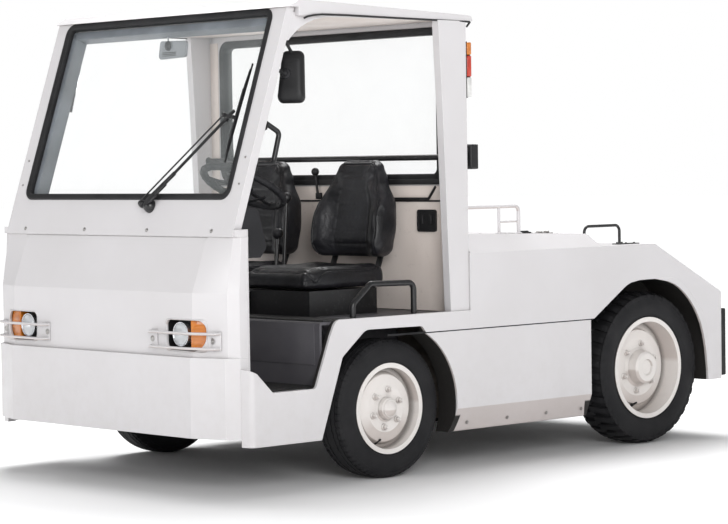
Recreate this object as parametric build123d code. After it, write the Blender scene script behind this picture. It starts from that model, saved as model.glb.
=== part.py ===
"""Airport baggage tug: a two-seat drawbar tractor with an open-sided cab, modelled piece by piece.

Everything is in millimetres. Stations run along Y from the front axle with the front end towards -Y,
X points to the vehicle's left and Z up from the floor. The last lines move the finished pieces so that
the origin lies on the floor, midway along the whole length.
"""
import os
from collections import namedtuple
from math import hypot

from build123d import *

# ---------------------------------------------------------------------------------------------------
# Driving sizes
# ---------------------------------------------------------------------------------------------------
SEAT = 0.3                    # gap between pieces that seat on a curved or fitted face
MOVING_GAP = 6.0              # gap round a piece that moves

HALF_WIDTH = 880.0            # of the body at its sides

# Wheels. inset: rim's outer edge inside the body's side, seat: radius of the bead seat
Wheel = namedtuple("Wheel", "station radius width flange seat inset spindle hub hub_length")
FRONT = Wheel(station=0.0, radius=303.0, width=168.0, flange=198.0, seat=182.0, inset=58.0, spindle=20.0,
              hub=38.0, hub_length=111.0)
REAR = Wheel(station=1722.0, radius=365.0, width=200.0, flange=243.0, seat=226.0, inset=54.0, spindle=30.0,
             hub=60.0, hub_length=136.0)
RIM_SIDE = 7.0                # how far the sidewall bulges past the rim's edge
RIM_WALL = 5.0                # pressed steel of the rims
SPINDLE_PLAY = 0.06           # running clearance between spindle and hub
TREAD_DROP = 13.0             # how much lower the tread's edge is than its middle
LUGS = 38                     # traction bars round a rear tyre
LUG_DEPTH = 16.0
LUG_WIDTH = 32.0

# Body outline
SIDE_WALL = 30.0              # thickness of the body's side walls
SKIN = 20.0                   # thickness of the covers
DECK_Z = 961.0
DECK_END_Y = 1715.0           # where the deck turns down
TAIL_Y = 2211.0
TAIL_TOP_Z = 711.0
TAIL_BOTTOM_Z = 282.0
CREASE_Z = 709.0              # fender top and body crease
BELT_Z = 627.0                # lower edge of the belt above the skirt
SILL_Z = 427.0                # step height
SKIRT_LOW_Z = 275.0
SKIRT_FOOT_Z = 172.0
SKIRT_DEPTH = 118.0
SKIRT_TUCK = 40.0
SKIRT_END_Y = 1252.0
SKIRT_ARCH_R = 362.0

# Front end. half-widths and stations of the flat, of the corner facet and of the door post
POST_HALF = HALF_WIDTH - 57.0
FACET_HALF = POST_HALF - 32.0
FLAT_HALF = FACET_HALF - 162.0
FRONT_LOW_Z = 241.0
BUMPER_TOP_Z = 576.0
MID_CREASE_Z = 841.0
COVER_TOP_Z = 1072.0
FRONT_Y = -937.0
FACET_Y = -884.0
POST_Y = -846.0
COVER_TOP_Y = -852.0
BUMPER_PROUD = 18.0

# Cab
RAKE_RUN = 0.3396             # Y gained for each Z up the windscreen
PILLAR_HALF = POST_HALF - 29.0
SCREEN_HALF = PILLAR_HALF - 75.0
SCREEN_LIP = 12.0             # of the frame over the pane's edge
SCREEN_CORNER = 40.0
SCREEN_LOW_Z = 1223.0
SCREEN_LOW_Y = -805.0
SCREEN_TOP_Z = 2024.0
FRAME_DEPTH = 42.0            # of the windscreen frame, along Y
ROOF_TOP_Z = 2057.0
ROOF_REAR_Z = 2012.0
ROOF_FRONT_Y = -500.0
ROOF_REAR_Y = 495.0
ROOF_FRONT_HALF = PILLAR_HALF + 21.0
ROOF_EDGE_Z = 1988.0
REAR_WALL_Y = 450.0           # outer face of the cab's rear wall
REAR_WALL_THICK = 45.0
POST_DEPTH = 40.0             # thickness across the vehicle of the rear posts
CAB_SIDE = HALF_WIDTH - 8.0
ROOF_REAR_HALF = CAB_SIDE + 2.0
WINDOW_HALF = CAB_SIDE - 130.0
WINDOW_CORNER = 60.0
WINDOW_LOW_Z = 1301.0
WINDOW_TOP_Z = 1947.0
GLASS = 6.0
FLOOR_PLATE = 12.0
RISER_Y = -430.0
PLATFORM_Z = 700.0

# Engine hood
HOOD_FRONT_Z = 1045.0
HOOD_REAR_Z = 1021.0
HOOD_HALF = HALF_WIDTH - 80.0
HOOD_REAR_Y = 1305.0
HOOD_FOOT_Y = 1385.0
LID_HALF = HOOD_HALF - 120.0
LID_FRONT_Y = 490.0
LID_REAR_Y = 1240.0

# Running gear
RAIL_IN = 380.0
RAIL_OUT = 450.0
RAIL_DEPTH = 110.0
RAIL_LOW_TOP = SILL_Z - FLOOR_PLATE
RAIL_HIGH_TOP = 520.0
KINGPIN_X = HALF_WIDTH - 235.0
KINGPIN_R = 14.0
ARM_LENGTH = 120.0            # steering arms, pin to kingpin
AXLE_HALF_HEIGHT = 35.0

ENGINE_HALF = 230.0
ENGINE_FRONT_Y = 520.0
ENGINE_REAR_Y = 1140.0
ENGINE_TOP_Z = 880.0
GEARBOX_REAR_Y = 1365.0

# Seats
SEAT_X = 320.0
SEAT_HALF = 240.0
SEAT_FRONT_Y = -235.0
SEAT_REAR_Y = 262.0
SEAT_TOP_Z = 925.0
SEAT_LOW_Z = 812.0
CONSOLE_HALF = 140.0

# Tail
BUMPER_LOW_Z = 296.0
BUMPER_HIGH_Z = 626.0
BUMPER_THICK = 33.0
JAW_HALF = 60.0
JAW_REACH = 85.0
JAW_LOW_Z = 300.0
JAW_TOP_Z = 520.0
LUG_PITCH = 60.0              # between the plates of the drawbar jaw
PLATE = 18.0
HITCH_PIN_R = 15.0


# ---------------------------------------------------------------------------------------------------
# Small builders
# ---------------------------------------------------------------------------------------------------
def block(x_low, x_high, y_low, y_high, z_low, z_high):
    """A box between two corners."""
    middle = Pos((x_low + x_high) / 2, (y_low + y_high) / 2, (z_low + z_high) / 2)
    return middle * Box(x_high - x_low, y_high - y_low, z_high - z_low)


def outline(points):
    """A flat face from rows of (u, v, corner radius)."""
    face = make_face(Polyline(*[(row[0], row[1]) for row in points], close=True)).face()
    for u, v, radius in points:
        if radius:
            corner = face.vertices().sort_by_distance((u, v, 0))[0]
            face = face.fillet_2d(radius, [corner])
    return face


def rounded(u_low, u_high, v_low, v_high, radius):
    """Rows of a rectangle with rounded corners."""
    return [(u_low, v_low, radius), (u_high, v_low, radius), (u_high, v_high, radius),
            (u_low, v_high, radius)]


def prism_x(points, x_low, x_high):
    """Rows of (Y, Z, radius) extruded across the vehicle."""
    return extrude(Plane.YZ.offset(x_low) * outline(points), x_high - x_low)


def prism_y(points, y_low, y_high):
    """Rows of (X, Z, radius) extruded along the vehicle."""
    return extrude(Plane.XZ.offset(-y_low) * outline(points), y_low - y_high)


def prism_z(points, z_low, z_high):
    """Rows of (X, Y, radius) extruded upwards."""
    return extrude(Plane.XY.offset(z_low) * outline(points), z_high - z_low)


def mirrored(points):
    """Close an outline given for +X by its mirror image."""
    return points + [(-u, v, radius) for u, v, radius in reversed(points)]


def rod(start, end, radius):
    """A round bar between two points."""
    axis = Vector(*end) - Vector(*start)
    base = Plane(origin=start, z_dir=axis)
    return base * Cylinder(radius, axis.length, align=(Align.CENTER, Align.CENTER, Align.MIN))


def bent_tube(points, radius, bend):
    """A round tube along straight runs joined by bends."""
    path = FilletPolyline(*points, radius=bend)
    section = Plane(origin=path @ 0, z_dir=path % 0) * Circle(radius)
    return sweep(section, path)


def on_side(shape, sign):
    """The left-hand shape, or its mirror image for the right-hand side."""
    return shape if sign > 0 else mirror(shape, about=Plane.YZ)


def screen_y(z):
    """Station of the windscreen frame's front face at a height."""
    return SCREEN_LOW_Y + RAKE_RUN * (z - SCREEN_LOW_Z)


# ---------------------------------------------------------------------------------------------------
# Wheels
# ---------------------------------------------------------------------------------------------------
# Disc faces from the barrel to the hub's nose: rows of (offset inwards from the rim's edge, radius)
FRONT_DISC = ((60, 178), (56, 160), (34, 146), (25, 104), (27, 60), (24, 50), (2, 45), (-6, 28), (-8, 0))
REAR_DISC = ((105, 222), (94, 188), (72, 178), (66, 138), (66, 96), (58, 84), (16, 77), (8, 66), (8, 40),
             (16, 36), (16, 0))
HUB_REACH = 30.0              # blind wall outside the spindle's end


def rim_half(wheel):
    return wheel.width / 2 - RIM_SIDE


def rim_edge(wheel):
    """X of the rim's outer edge."""
    return HALF_WIDTH - wheel.inset


def wheel_centre(wheel):
    return Vector(rim_edge(wheel) - rim_half(wheel), wheel.station, wheel.radius)


def hub_end(wheel):
    """X of the hub's inner end."""
    return rim_edge(wheel) - wheel.hub_length


def turned(points):
    """A ring from rows of (x, radius), turned about the wheel's axis."""
    face = make_face(Polyline(*points, close=True)).face()
    return revolve(Plane.XZ * face, Axis.X)


def make_front_tyre():
    """A road tyre from its bead seat to its smooth crown."""
    bead, seat, lip, half = bead_sizes(FRONT)
    tread, shoulder = half - 14, FRONT.radius - TREAD_DROP
    middle = (lip + FRONT.radius) / 2 - 6
    bottom = Polyline((-bead, lip), (-bead, seat), (bead, seat), (bead, lip))
    left = ThreePointArc((bead, lip), (half, middle), (tread, shoulder))
    crown = ThreePointArc((tread, shoulder), (0, FRONT.radius), (-tread, shoulder))
    right = ThreePointArc((-tread, shoulder), (-half, middle), (-bead, lip))
    face = make_face(bottom.edges() + [left, crown, right]).face()
    return Pos(wheel_centre(FRONT)) * revolve(Plane.XZ * face, Axis.X)


def bead_sizes(wheel):
    """Half width and radius of a tyre's bead seat, its radius over the rim's flange and its half width."""
    return rim_half(wheel) - RIM_WALL - SEAT, wheel.seat + SEAT, wheel.flange + 3, wheel.width / 2


def traction_bar():
    """One bar right across the tread, crowned and turned down over both shoulders."""
    half, top = REAR.width / 2, REAR.radius
    edge, foot = (half - 18, top - TREAD_DROP), (half - 5, top - 64)
    section = outline([(*foot, 0), (*edge, 0), (0, top, 0), (-edge[0], edge[1], 0), (-foot[0], foot[1], 0)])
    return extrude(Plane.XZ.offset(-LUG_WIDTH / 2) * section, LUG_WIDTH)


def make_rear_tyre():
    """A drive tyre: a carcass with coned shoulders under a ring of bars."""
    bead, seat, lip, half = bead_sizes(REAR)
    root, foot = REAR.radius - LUG_DEPTH, REAR.radius - 64
    rows = [(-bead, lip), (-bead, seat), (bead, seat), (bead, lip)]
    right = [(half, (lip + foot) / 2), (half - 4, foot), (half - 22, root - 6)]
    wall = rows + right + [(-x, radius) for x, radius in reversed(right)]
    tyre = revolve(Plane.XZ * make_face(Polyline(*wall, close=True)).face(), Axis.X)
    bar, pitch = traction_bar(), 360 / LUGS
    bars = [Rot(step * pitch, 0, 0) * bar for step in range(LUGS)]
    return Pos(wheel_centre(REAR)) * tyre.fuse(*bars)


def make_rim(wheel, disc):
    """Barrel with two flanges, pressed disc and hub with a blind bore for the spindle."""
    half = rim_half(wheel)
    inner = wheel.seat - RIM_WALL
    barrel = turned([(-half, wheel.flange), (-half + RIM_WALL, wheel.flange), (-half + RIM_WALL, wheel.seat),
                     (half - RIM_WALL, wheel.seat), (half - RIM_WALL, wheel.flange), (half, wheel.flange),
                     (half, inner), (-half, inner)])
    face = [(half - inwards, radius) for inwards, radius in disc]
    back = [(x - RIM_WALL - 2, radius) for x, radius in reversed(face)]
    hub_in = hub_end(wheel) - wheel_centre(wheel).X
    nose = face[-1][0]
    hub = rod((hub_in, 0, 0), (nose - 2, 0, 0), wheel.hub)
    bore = rod((hub_in - 10, 0, 0), (nose - HUB_REACH, 0, 0), wheel.spindle + SPINDLE_PLAY)
    return Pos(wheel_centre(wheel)) * (barrel + turned(face + back) + hub - bore)


def spindle_end(wheel, disc):
    """X of the spindle's tip, 2 mm short of the hub's blind end."""
    return rim_edge(wheel) - disc[-1][0] - HUB_REACH - 2


# ---------------------------------------------------------------------------------------------------
# Running gear
# ---------------------------------------------------------------------------------------------------
def make_chassis_frame():
    """Two rails kicked up over the front axle, joined by cross members."""
    low, high = RAIL_LOW_TOP, RAIL_HIGH_TOP
    front, back = FRONT_Y + SKIN + SEAT, TAIL_Y - SKIN - SEAT
    kick = RISER_Y + FLOOR_PLATE + 4
    rail_side = [(front, low - RAIL_DEPTH, 0), (front, low, 0), (kick, low, 0), (kick + 130, high, 0),
                 (back, high, 0), (back, high - RAIL_DEPTH, 0), (kick + 165, high - RAIL_DEPTH, 0),
                 (kick + 35, low - RAIL_DEPTH, 0)]
    frame = prism_x(rail_side, RAIL_IN, RAIL_OUT)
    frame += on_side(frame, -1)
    for station, top in ((front + 40, low), (380, high), (1400, high), (back - 30, high)):
        frame += block(-RAIL_IN, RAIL_IN, station - 30, station + 30, top - RAIL_DEPTH, top)
    spring_low = FRONT.radius + AXLE_HALF_HEIGHT
    for sign in (1, -1):
        spring = prism_x([(-250, high - RAIL_DEPTH, 0), (-60, spring_low, 0), (60, spring_low, 0),
                          (250, high - RAIL_DEPTH, 0)], RAIL_IN + 5, RAIL_OUT - 5)
        frame += on_side(spring, sign)
    return frame


def make_front_axle():
    """A forged beam with an eye for each kingpin."""
    z = FRONT.radius
    beam = block(-KINGPIN_X, KINGPIN_X, -30, 30, z - AXLE_HALF_HEIGHT, z + AXLE_HALF_HEIGHT)
    web = block(-RAIL_IN, RAIL_IN, 12, 31, z - 22, z + 22)
    beam = beam - web - mirror(web, about=Plane.XZ)
    for sign in (1, -1):
        low, high = (sign * KINGPIN_X, 0, z - AXLE_HALF_HEIGHT), (sign * KINGPIN_X, 0, z + AXLE_HALF_HEIGHT)
        beam = beam + rod(low, high, 34)
    for sign in (1, -1):
        low, high = (sign * KINGPIN_X, 0, z - 60), (sign * KINGPIN_X, 0, z + 60)
        beam = beam - rod(low, high, KINGPIN_R + SPINDLE_PLAY)
    return beam


def make_knuckle():
    """Left fork with its kingpin, spindle and steering arm."""
    x, z = KINGPIN_X, FRONT.radius
    web_in, web_out = x + 41, x + 60
    gap = AXLE_HALF_HEIGHT + 2
    knuckle = block(web_in, web_out, -36, 36, z - gap - 22, z + gap + 22)
    for low in (z - gap - 22, z + gap):
        knuckle += rod((x, 0, low), (x, 0, low + 22), 32) + block(x, web_in, -32, 32, low, low + 22)
    knuckle += rod((x, 0, z - gap - 22), (x, 0, z + gap + 22), KINGPIN_R)
    knuckle += rod((web_out - 5, 0, z), (spindle_end(FRONT, FRONT_DISC), 0, z), FRONT.spindle)
    arm_top = z - gap
    knuckle += block(x - 14, x + 14, 0, ARM_LENGTH, arm_top - 22, arm_top)
    knuckle += rod((x, ARM_LENGTH, arm_top - 22), (x, ARM_LENGTH, arm_top), 17)
    knuckle += rod((x, ARM_LENGTH, arm_top - 50), (x, ARM_LENGTH, arm_top - 10), 8)
    return knuckle


def make_tie_rod():
    """Cross tube with an eye on each steering arm's pin."""
    top = FRONT.radius - AXLE_HALF_HEIGHT - 2 - 22 - 1.5
    low = top - 22
    rod_z = (top + low) / 2
    tie = rod((-KINGPIN_X, ARM_LENGTH, rod_z), (KINGPIN_X, ARM_LENGTH, rod_z), 10)
    for sign in (1, -1):
        tie += rod((sign * KINGPIN_X, ARM_LENGTH, low), (sign * KINGPIN_X, ARM_LENGTH, top), 19)
    for sign in (1, -1):
        tie -= rod((sign * KINGPIN_X, ARM_LENGTH, low - 5), (sign * KINGPIN_X, ARM_LENGTH, top + 5), 8.1)
    return tie


def make_rear_axle():
    """Drive axle: tube, differential and the pads that carry the rails."""
    y, z = REAR.station, REAR.radius
    tip = spindle_end(REAR, REAR_DISC)
    hub_in = hub_end(REAR) - MOVING_GAP
    axle = rod((-tip, y, z), (tip, y, z), REAR.spindle)
    axle += rod((-hub_in, y, z), (hub_in, y, z), 44)
    axle += Pos(0, y, z) * Rot(0, 90, 0) * Cylinder(120, 150)
    for sign in (1, -1):
        pad = block(RAIL_IN + 5, RAIL_OUT - 5, y - 60, y + 60, z, RAIL_HIGH_TOP - RAIL_DEPTH)
        axle += on_side(pad, sign)
    return axle


def make_engine_block():
    """Engine and gearbox as one plain mass on its mounts."""
    sump = RAIL_HIGH_TOP - RAIL_DEPTH - 10
    engine = block(-ENGINE_HALF, ENGINE_HALF, ENGINE_FRONT_Y, ENGINE_REAR_Y, sump, ENGINE_TOP_Z)
    engine += block(-110, 110, ENGINE_REAR_Y, GEARBOX_REAR_Y, sump + 20, sump + 200)
    for station in (ENGINE_FRONT_Y + 100, ENGINE_REAR_Y - 100):
        engine += block(-RAIL_OUT, RAIL_OUT, station - 30, station + 30, RAIL_HIGH_TOP, RAIL_HIGH_TOP + 30)
    return engine


# ---------------------------------------------------------------------------------------------------
# Body
# ---------------------------------------------------------------------------------------------------
def front_plan(inset, front_y=FRONT_Y, facet_y=FACET_Y, post_y=POST_Y):
    """Half outline of the front end seen from above, shrunk by an inset."""
    return [(FLAT_HALF - inset * 0.3, front_y + inset, 0), (FACET_HALF - inset * 0.7, facet_y + inset, 0),
            (POST_HALF - inset, post_y + inset * 0.6, 0), (POST_HALF - inset, post_y + 2 * SKIN + inset, 0)]


def shell_between(low_rows, low_z, high_rows, high_z):
    """A ruled block between two plan outlines."""
    low = Plane.XY.offset(low_z) * outline(mirrored(low_rows))
    high = Plane.XY.offset(high_z) * outline(mirrored(high_rows))
    return loft([low, high], ruled=True)


LAMP_LOW_Z = 597.0
LAMP_TOP_Z = 733.0
LAMP_OUT_X = FLAT_HALF + 71.0
LAMP_IN_X = LAMP_OUT_X - 248.0
LAMP_DEPTH = 70.0
LAMP_CORNER = 18.0
BOWL_X = LAMP_IN_X + 87.0
BOWL_Z = 668.0
BOWL_R = 47.0


def lamp_rows(inset):
    """The lamp pocket's rounded outline, shrunk by an inset."""
    return rounded(LAMP_IN_X + inset, LAMP_OUT_X - inset, LAMP_LOW_Z + inset, LAMP_TOP_Z - inset,
                   LAMP_CORNER - inset)


def lamp_pocket():
    """The left headlamp's pocket, cut straight back through the corner."""
    return prism_y(lamp_rows(0), FRONT_Y - 50, FRONT_Y + LAMP_DEPTH)


def facet_point(x, off, z):
    """A point in front of the corner facet at a distance from its face."""
    run, rise = FACET_HALF - FLAT_HALF, FACET_Y - FRONT_Y
    length = hypot(run, rise)
    along = (x - FLAT_HALF) / run
    return (x + off * rise / length, FRONT_Y + along * rise - off * run / length, z)


def make_front_cover():
    """Creased upper front cover with its corner facets and lamp pockets."""
    shift = COVER_TOP_Y - FRONT_Y
    top = dict(front_y=COVER_TOP_Y, facet_y=FACET_Y + shift * 0.45, post_y=POST_Y + 14)
    outer = shell_between(front_plan(0), BUMPER_TOP_Z, front_plan(0), MID_CREASE_Z)
    outer += shell_between(front_plan(0), MID_CREASE_Z, front_plan(0, **top), COVER_TOP_Z)
    inner = shell_between(front_plan(SKIN), BUMPER_TOP_Z - 5, front_plan(SKIN), MID_CREASE_Z)
    inner += shell_between(front_plan(SKIN), MID_CREASE_Z, front_plan(SKIN, **top), COVER_TOP_Z + 5)
    cover = outer - inner
    for sign in (1, -1):
        cover -= on_side(lamp_pocket(), sign)
    return cover


def make_front_bumper_plate():
    """Heavy plate across the lower front, standing proud of the cover."""
    outer = shell_between(front_plan(0, FRONT_Y - BUMPER_PROUD, FACET_Y - BUMPER_PROUD, POST_Y), FRONT_LOW_Z,
                          front_plan(0, FRONT_Y - BUMPER_PROUD, FACET_Y - BUMPER_PROUD, POST_Y), BUMPER_TOP_Z)
    inner = shell_between(front_plan(SKIN), FRONT_LOW_Z - 5, front_plan(SKIN), BUMPER_TOP_Z + 5)
    return outer - inner


def screen_rows(inset):
    """The screen's rounded outline, shrunk by an inset."""
    half = SCREEN_HALF - inset
    return rounded(-half, half, SCREEN_LOW_Z + inset, SCREEN_TOP_Z - inset, SCREEN_CORNER)


def raked_rows(low_z, high_z, front, back):
    """Side outline of a slab parallel to the screen, between two depths behind the frame's front face."""
    return [(screen_y(low_z) + front, low_z, 0), (screen_y(high_z) + front, high_z, 0),
            (screen_y(high_z) + back, high_z, 0), (screen_y(low_z) + back, low_z, 0)]


def make_cab_front():
    """Windscreen frame and pillars, with the posts that stand in the front corners."""
    foot_z, head_z = COVER_TOP_Z + SEAT, ROOF_EDGE_Z + 36
    frame = prism_x(raked_rows(foot_z, head_z, 0, FRAME_DEPTH), -PILLAR_HALF, PILLAR_HALF)
    frame -= prism_y(screen_rows(SCREEN_LIP), SCREEN_LOW_Y - 200, SCREEN_LOW_Y + 500)
    for sign in (1, -1):
        post_in, post_y = POST_HALF - SKIN - 40, POST_Y + 28
        post = block(post_in, POST_HALF - SKIN, post_y, post_y + 42, SILL_Z, foot_z + 30)
        shoulder = block(PILLAR_HALF - 40, POST_HALF, screen_y(foot_z) + 10, POST_Y + 2 * SKIN, foot_z,
                         foot_z + 30)
        frame += on_side(post, sign) + on_side(shoulder, sign)
    return frame


def make_windscreen():
    """Flat laminated pane in the raked frame."""
    pane = prism_y(screen_rows(SCREEN_LIP + SEAT), SCREEN_LOW_Y - 200, SCREEN_LOW_Y + 500)
    middle = FRAME_DEPTH / 2
    rows = raked_rows(SCREEN_LOW_Z - 50, SCREEN_TOP_Z + 50, middle, middle + GLASS)
    slab = prism_x(rows, -HALF_WIDTH, HALF_WIDTH)
    return pane & slab


def make_roof():
    """Tapered roof pressing, hollow underneath, with a drip rail at each side."""
    front_z = ROOF_EDGE_Z + 36 + SEAT
    behind_frame = screen_y(ROOF_EDGE_Z + 36) + FRAME_DEPTH + 3
    edge_z = ROOF_EDGE_Z + SEAT
    side = [(ROOF_FRONT_Y - 45, front_z, 0), (ROOF_FRONT_Y + 20, ROOF_TOP_Z, 20),
            (ROOF_REAR_Y - 10, ROOF_REAR_Z, 15), (ROOF_REAR_Y, edge_z, 0), (behind_frame, edge_z, 0),
            (behind_frame, front_z, 0)]
    plan = mirrored([(ROOF_FRONT_HALF, ROOF_FRONT_Y - 60, 60), (ROOF_REAR_HALF, ROOF_REAR_Y + 20, 30)])
    shell = prism_x(side, -HALF_WIDTH, HALF_WIDTH) & prism_z(plan, ROOF_EDGE_Z - 10, ROOF_TOP_Z + 20)
    hollow_side = [(ROOF_FRONT_Y + 60, ROOF_EDGE_Z - 5, 0), (ROOF_FRONT_Y + 60, ROOF_TOP_Z - SKIN - 8, 0),
                   (REAR_WALL_Y - REAR_WALL_THICK, ROOF_REAR_Z - SKIN, 0),
                   (REAR_WALL_Y - REAR_WALL_THICK, ROOF_EDGE_Z - 5, 0)]
    hollow_plan = mirrored([(ROOF_FRONT_HALF - 40, ROOF_FRONT_Y, 40), (ROOF_REAR_HALF - 50, ROOF_REAR_Y, 20)])
    hollow = prism_x(hollow_side, -HALF_WIDTH, HALF_WIDTH)
    return shell - (hollow & prism_z(hollow_plan, ROOF_EDGE_Z - 20, ROOF_TOP_Z))


def window_rows(inset):
    """The rear window's rounded outline, shrunk by an inset."""
    half = WINDOW_HALF - inset
    return rounded(-half, half, WINDOW_LOW_Z + inset, WINDOW_TOP_Z - inset, WINDOW_CORNER)


def make_cab_rear_wall():
    """Rear wall with its corner posts and window opening."""
    foot = CREASE_Z
    front = REAR_WALL_Y - REAR_WALL_THICK
    wall = block(-CAB_SIDE, CAB_SIDE, front, REAR_WALL_Y, foot, ROOF_EDGE_Z)
    post = prism_x([(335, foot, 0), (302, 1568, 0), (280, ROOF_EDGE_Z, 0), (front + 5, ROOF_EDGE_Z, 0),
                    (front + 5, foot, 0)], CAB_SIDE - POST_DEPTH, CAB_SIDE)
    wall += post + on_side(post, -1)
    return wall - prism_y(window_rows(0), 0, REAR_WALL_Y + 50)


def make_rear_window():
    middle = REAR_WALL_Y - REAR_WALL_THICK / 2
    return prism_y(window_rows(SEAT), middle - GLASS / 2, middle + GLASS / 2)


def make_side_panel():
    """Left step panel, fender and belt in one pressing, with the step and the front arch."""
    front = POST_Y + SEAT
    return_y = front + 2 * SKIN
    rows = [(front, 208, 0), (-452, 208, 0), (-327, 550, 25), (-190, 658, 60), (147, 655, 25),
            (170, BELT_Z, 0), (REAR_WALL_Y, BELT_Z, 0), (REAR_WALL_Y, CREASE_Z, 0), (-362, CREASE_Z, 45),
            (-396, 641, 25), (-482, SILL_Z, 20), (-721, SILL_Z, 20), (return_y, 510, 0), (front, 529, 0)]
    inner = HALF_WIDTH - SIDE_WALL
    plan = [(POST_HALF + SEAT, front, 0), (HALF_WIDTH, front + 12, 26), (HALF_WIDTH, REAR_WALL_Y, 0),
            (inner, REAR_WALL_Y, 0), (inner, return_y, 0), (POST_HALF + SEAT, return_y, 0)]
    return prism_x(rows, POST_HALF, HALF_WIDTH) & prism_z(plan, 0, ROOF_TOP_Z)


def make_cab_floor():
    """Step well, riser and seat platform, with the front wheels' housings under it."""
    half = HALF_WIDTH - SIDE_WALL
    plate = FLOOR_PLATE
    front = POST_Y + 2 * SKIN + SEAT
    back = REAR_WALL_Y - REAR_WALL_THICK
    rows = [(front, SILL_Z - plate, 0), (front, SILL_Z, 0), (RISER_Y, SILL_Z, 0), (RISER_Y, PLATFORM_Z, 15),
            (back, PLATFORM_Z, 0), (back, PLATFORM_Z - plate, 0), (RISER_Y + plate, PLATFORM_Z - plate, 0),
            (RISER_Y + plate, SILL_Z - plate, 0)]
    floor = prism_x(rows, -half, half)
    for sign in (1, -1):
        wall = block(RAIL_OUT + 6, RAIL_OUT + 12, RISER_Y + plate - 2, back, RAIL_HIGH_TOP - RAIL_DEPTH,
                     PLATFORM_Z - 2)
        back_wall = block(RAIL_OUT + 6, HALF_WIDTH - SKIRT_DEPTH - SEAT, back - 6, back, 260, PLATFORM_Z - 2)
        floor += on_side(wall, sign) + on_side(back_wall, sign)
    return floor


def make_skirt():
    """Side box below the belt, tucked in at its foot, its front end following the wheel arch."""
    inner = HALF_WIDTH - SKIRT_DEPTH
    top = BELT_Z - 4
    section = [(inner, top, 0), (HALF_WIDTH - 2, top, 0), (HALF_WIDTH - 2, SKIRT_LOW_Z, 12),
               (HALF_WIDTH - SKIRT_TUCK, SKIRT_FOOT_Z, 10), (inner, SKIRT_FOOT_Z, 0)]
    skirt = prism_y(section, 100, SKIRT_END_Y)
    arch = Pos(HALF_WIDTH, 0, FRONT.radius) * Rot(0, 90, 0) * Cylinder(SKIRT_ARCH_R, 400)
    return skirt - arch


ARCH_TOP_Z = REAR.radius * 2 + 63
ARCH_TOP_FRONT_Y = REAR.station - 182
ARCH_TOP_REAR_Y = REAR.station + 178
REAR_ARCH = [(SKIRT_END_Y + 12, 100, 0), (SKIRT_END_Y + 14, BELT_Z - 5, 30),
             (ARCH_TOP_FRONT_Y, ARCH_TOP_Z, 220), (ARCH_TOP_REAR_Y, ARCH_TOP_Z, 190),
             (ARCH_TOP_REAR_Y + 200, ARCH_TOP_Z - 203, 170), (ARCH_TOP_REAR_Y + 212, 100, 0)]
HINGE_X = 420.0
HINGE_LENGTH = 44.0
HINGE_R = 8.0
HINGE_PIN_R = 4.0


def hood_section(y, top, drop=0.0, narrow=0.0):
    """Cross-section of the raised hood at a station, or of its inner face."""
    rows = mirrored([(HALF_WIDTH - narrow, DECK_Z - drop, 0), (HOOD_HALF - narrow * 0.6, top - drop, 0)])
    return Plane.XZ.offset(-y) * outline(rows)


# The hood's rear end swings down in a shallow S: shares of its run and of its height above the deck
HOOD_END = ((0.0, 1.0), (0.3, 0.86), (0.66, 0.24), (1.0, 0.0))


def hood_form(drop=0.0, narrow=0.0):
    """The raised form over the engine, from the cab to its sloping rear end."""
    sections = [hood_section(REAR_WALL_Y + 5, HOOD_FRONT_Z, drop, narrow)]
    for along, height in HOOD_END:
        station = HOOD_REAR_Y + along * (HOOD_FOOT_Y - HOOD_REAR_Y)
        top = DECK_Z + 1 + height * (HOOD_REAR_Z - DECK_Z - 1)
        sections.append(hood_section(station - drop, top, drop, narrow))
    form = loft(sections[:2], ruled=True)
    for pair in zip(sections[1:], sections[2:]):
        form += loft(list(pair), ruled=True)
    return form


def lid_opening(gap):
    """The space the hood lid fills, grown by a gap."""
    half = LID_HALF + gap
    return block(-half, half, LID_FRONT_Y - gap, LID_REAR_Y + gap, DECK_Z - 80, HOOD_FRONT_Z + 50)


def make_rear_body():
    """Rear sides, deck, sloping tail and raised hood surround, with the rear wheels' housings."""
    front = REAR_WALL_Y + 0.5
    low = TAIL_BOTTOM_Z
    outer = [(front, BELT_Z, 0), (front, DECK_Z, 0), (DECK_END_Y, DECK_Z, 12), (TAIL_Y, TAIL_TOP_Z, 12),
             (TAIL_Y, low, 0), (ARCH_TOP_REAR_Y + 150, low, 0), (ARCH_TOP_REAR_Y + 150, BELT_Z, 0)]
    slope = SKIN * 0.6
    inner = [(front - 5, low - 50, 0), (front - 5, DECK_Z - SKIN, 0), (DECK_END_Y - slope, DECK_Z - SKIN, 0),
             (TAIL_Y - SKIN, TAIL_TOP_Z - slope, 0), (TAIL_Y - SKIN, low - 50, 0)]
    body = prism_x(outer, -HALF_WIDTH, HALF_WIDTH)
    body += hood_form()
    half = HALF_WIDTH - SIDE_WALL
    body -= prism_x(inner, -half, half)
    body -= hood_form(SKIN, SKIN)
    body -= lid_opening(MOVING_GAP)
    body -= prism_x(REAR_ARCH, -HALF_WIDTH - 5, HALF_WIDTH + 5)
    arch_face = outline(REAR_ARCH)
    liner = extrude(Plane.YZ.offset(half - 240) * offset(arch_face, 8), 240)
    liner -= extrude(Plane.YZ.offset(half - 234) * arch_face, 300)
    liner &= block(0, HALF_WIDTH, front, TAIL_Y, low, DECK_Z)
    liner -= block(0, HALF_WIDTH, REAR.station - 75, REAR.station + 75, 0, REAR.radius + 75)
    for sign in (1, -1):
        body += on_side(liner, sign)
        for x in (HINGE_X - HINGE_LENGTH - 1, HINGE_X + 1 + HINGE_LENGTH):
            body += on_side(hinge_leaf(x, -1), sign)
        body += on_side(hinge_pin(HINGE_PIN_R), sign)
    return body


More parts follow.
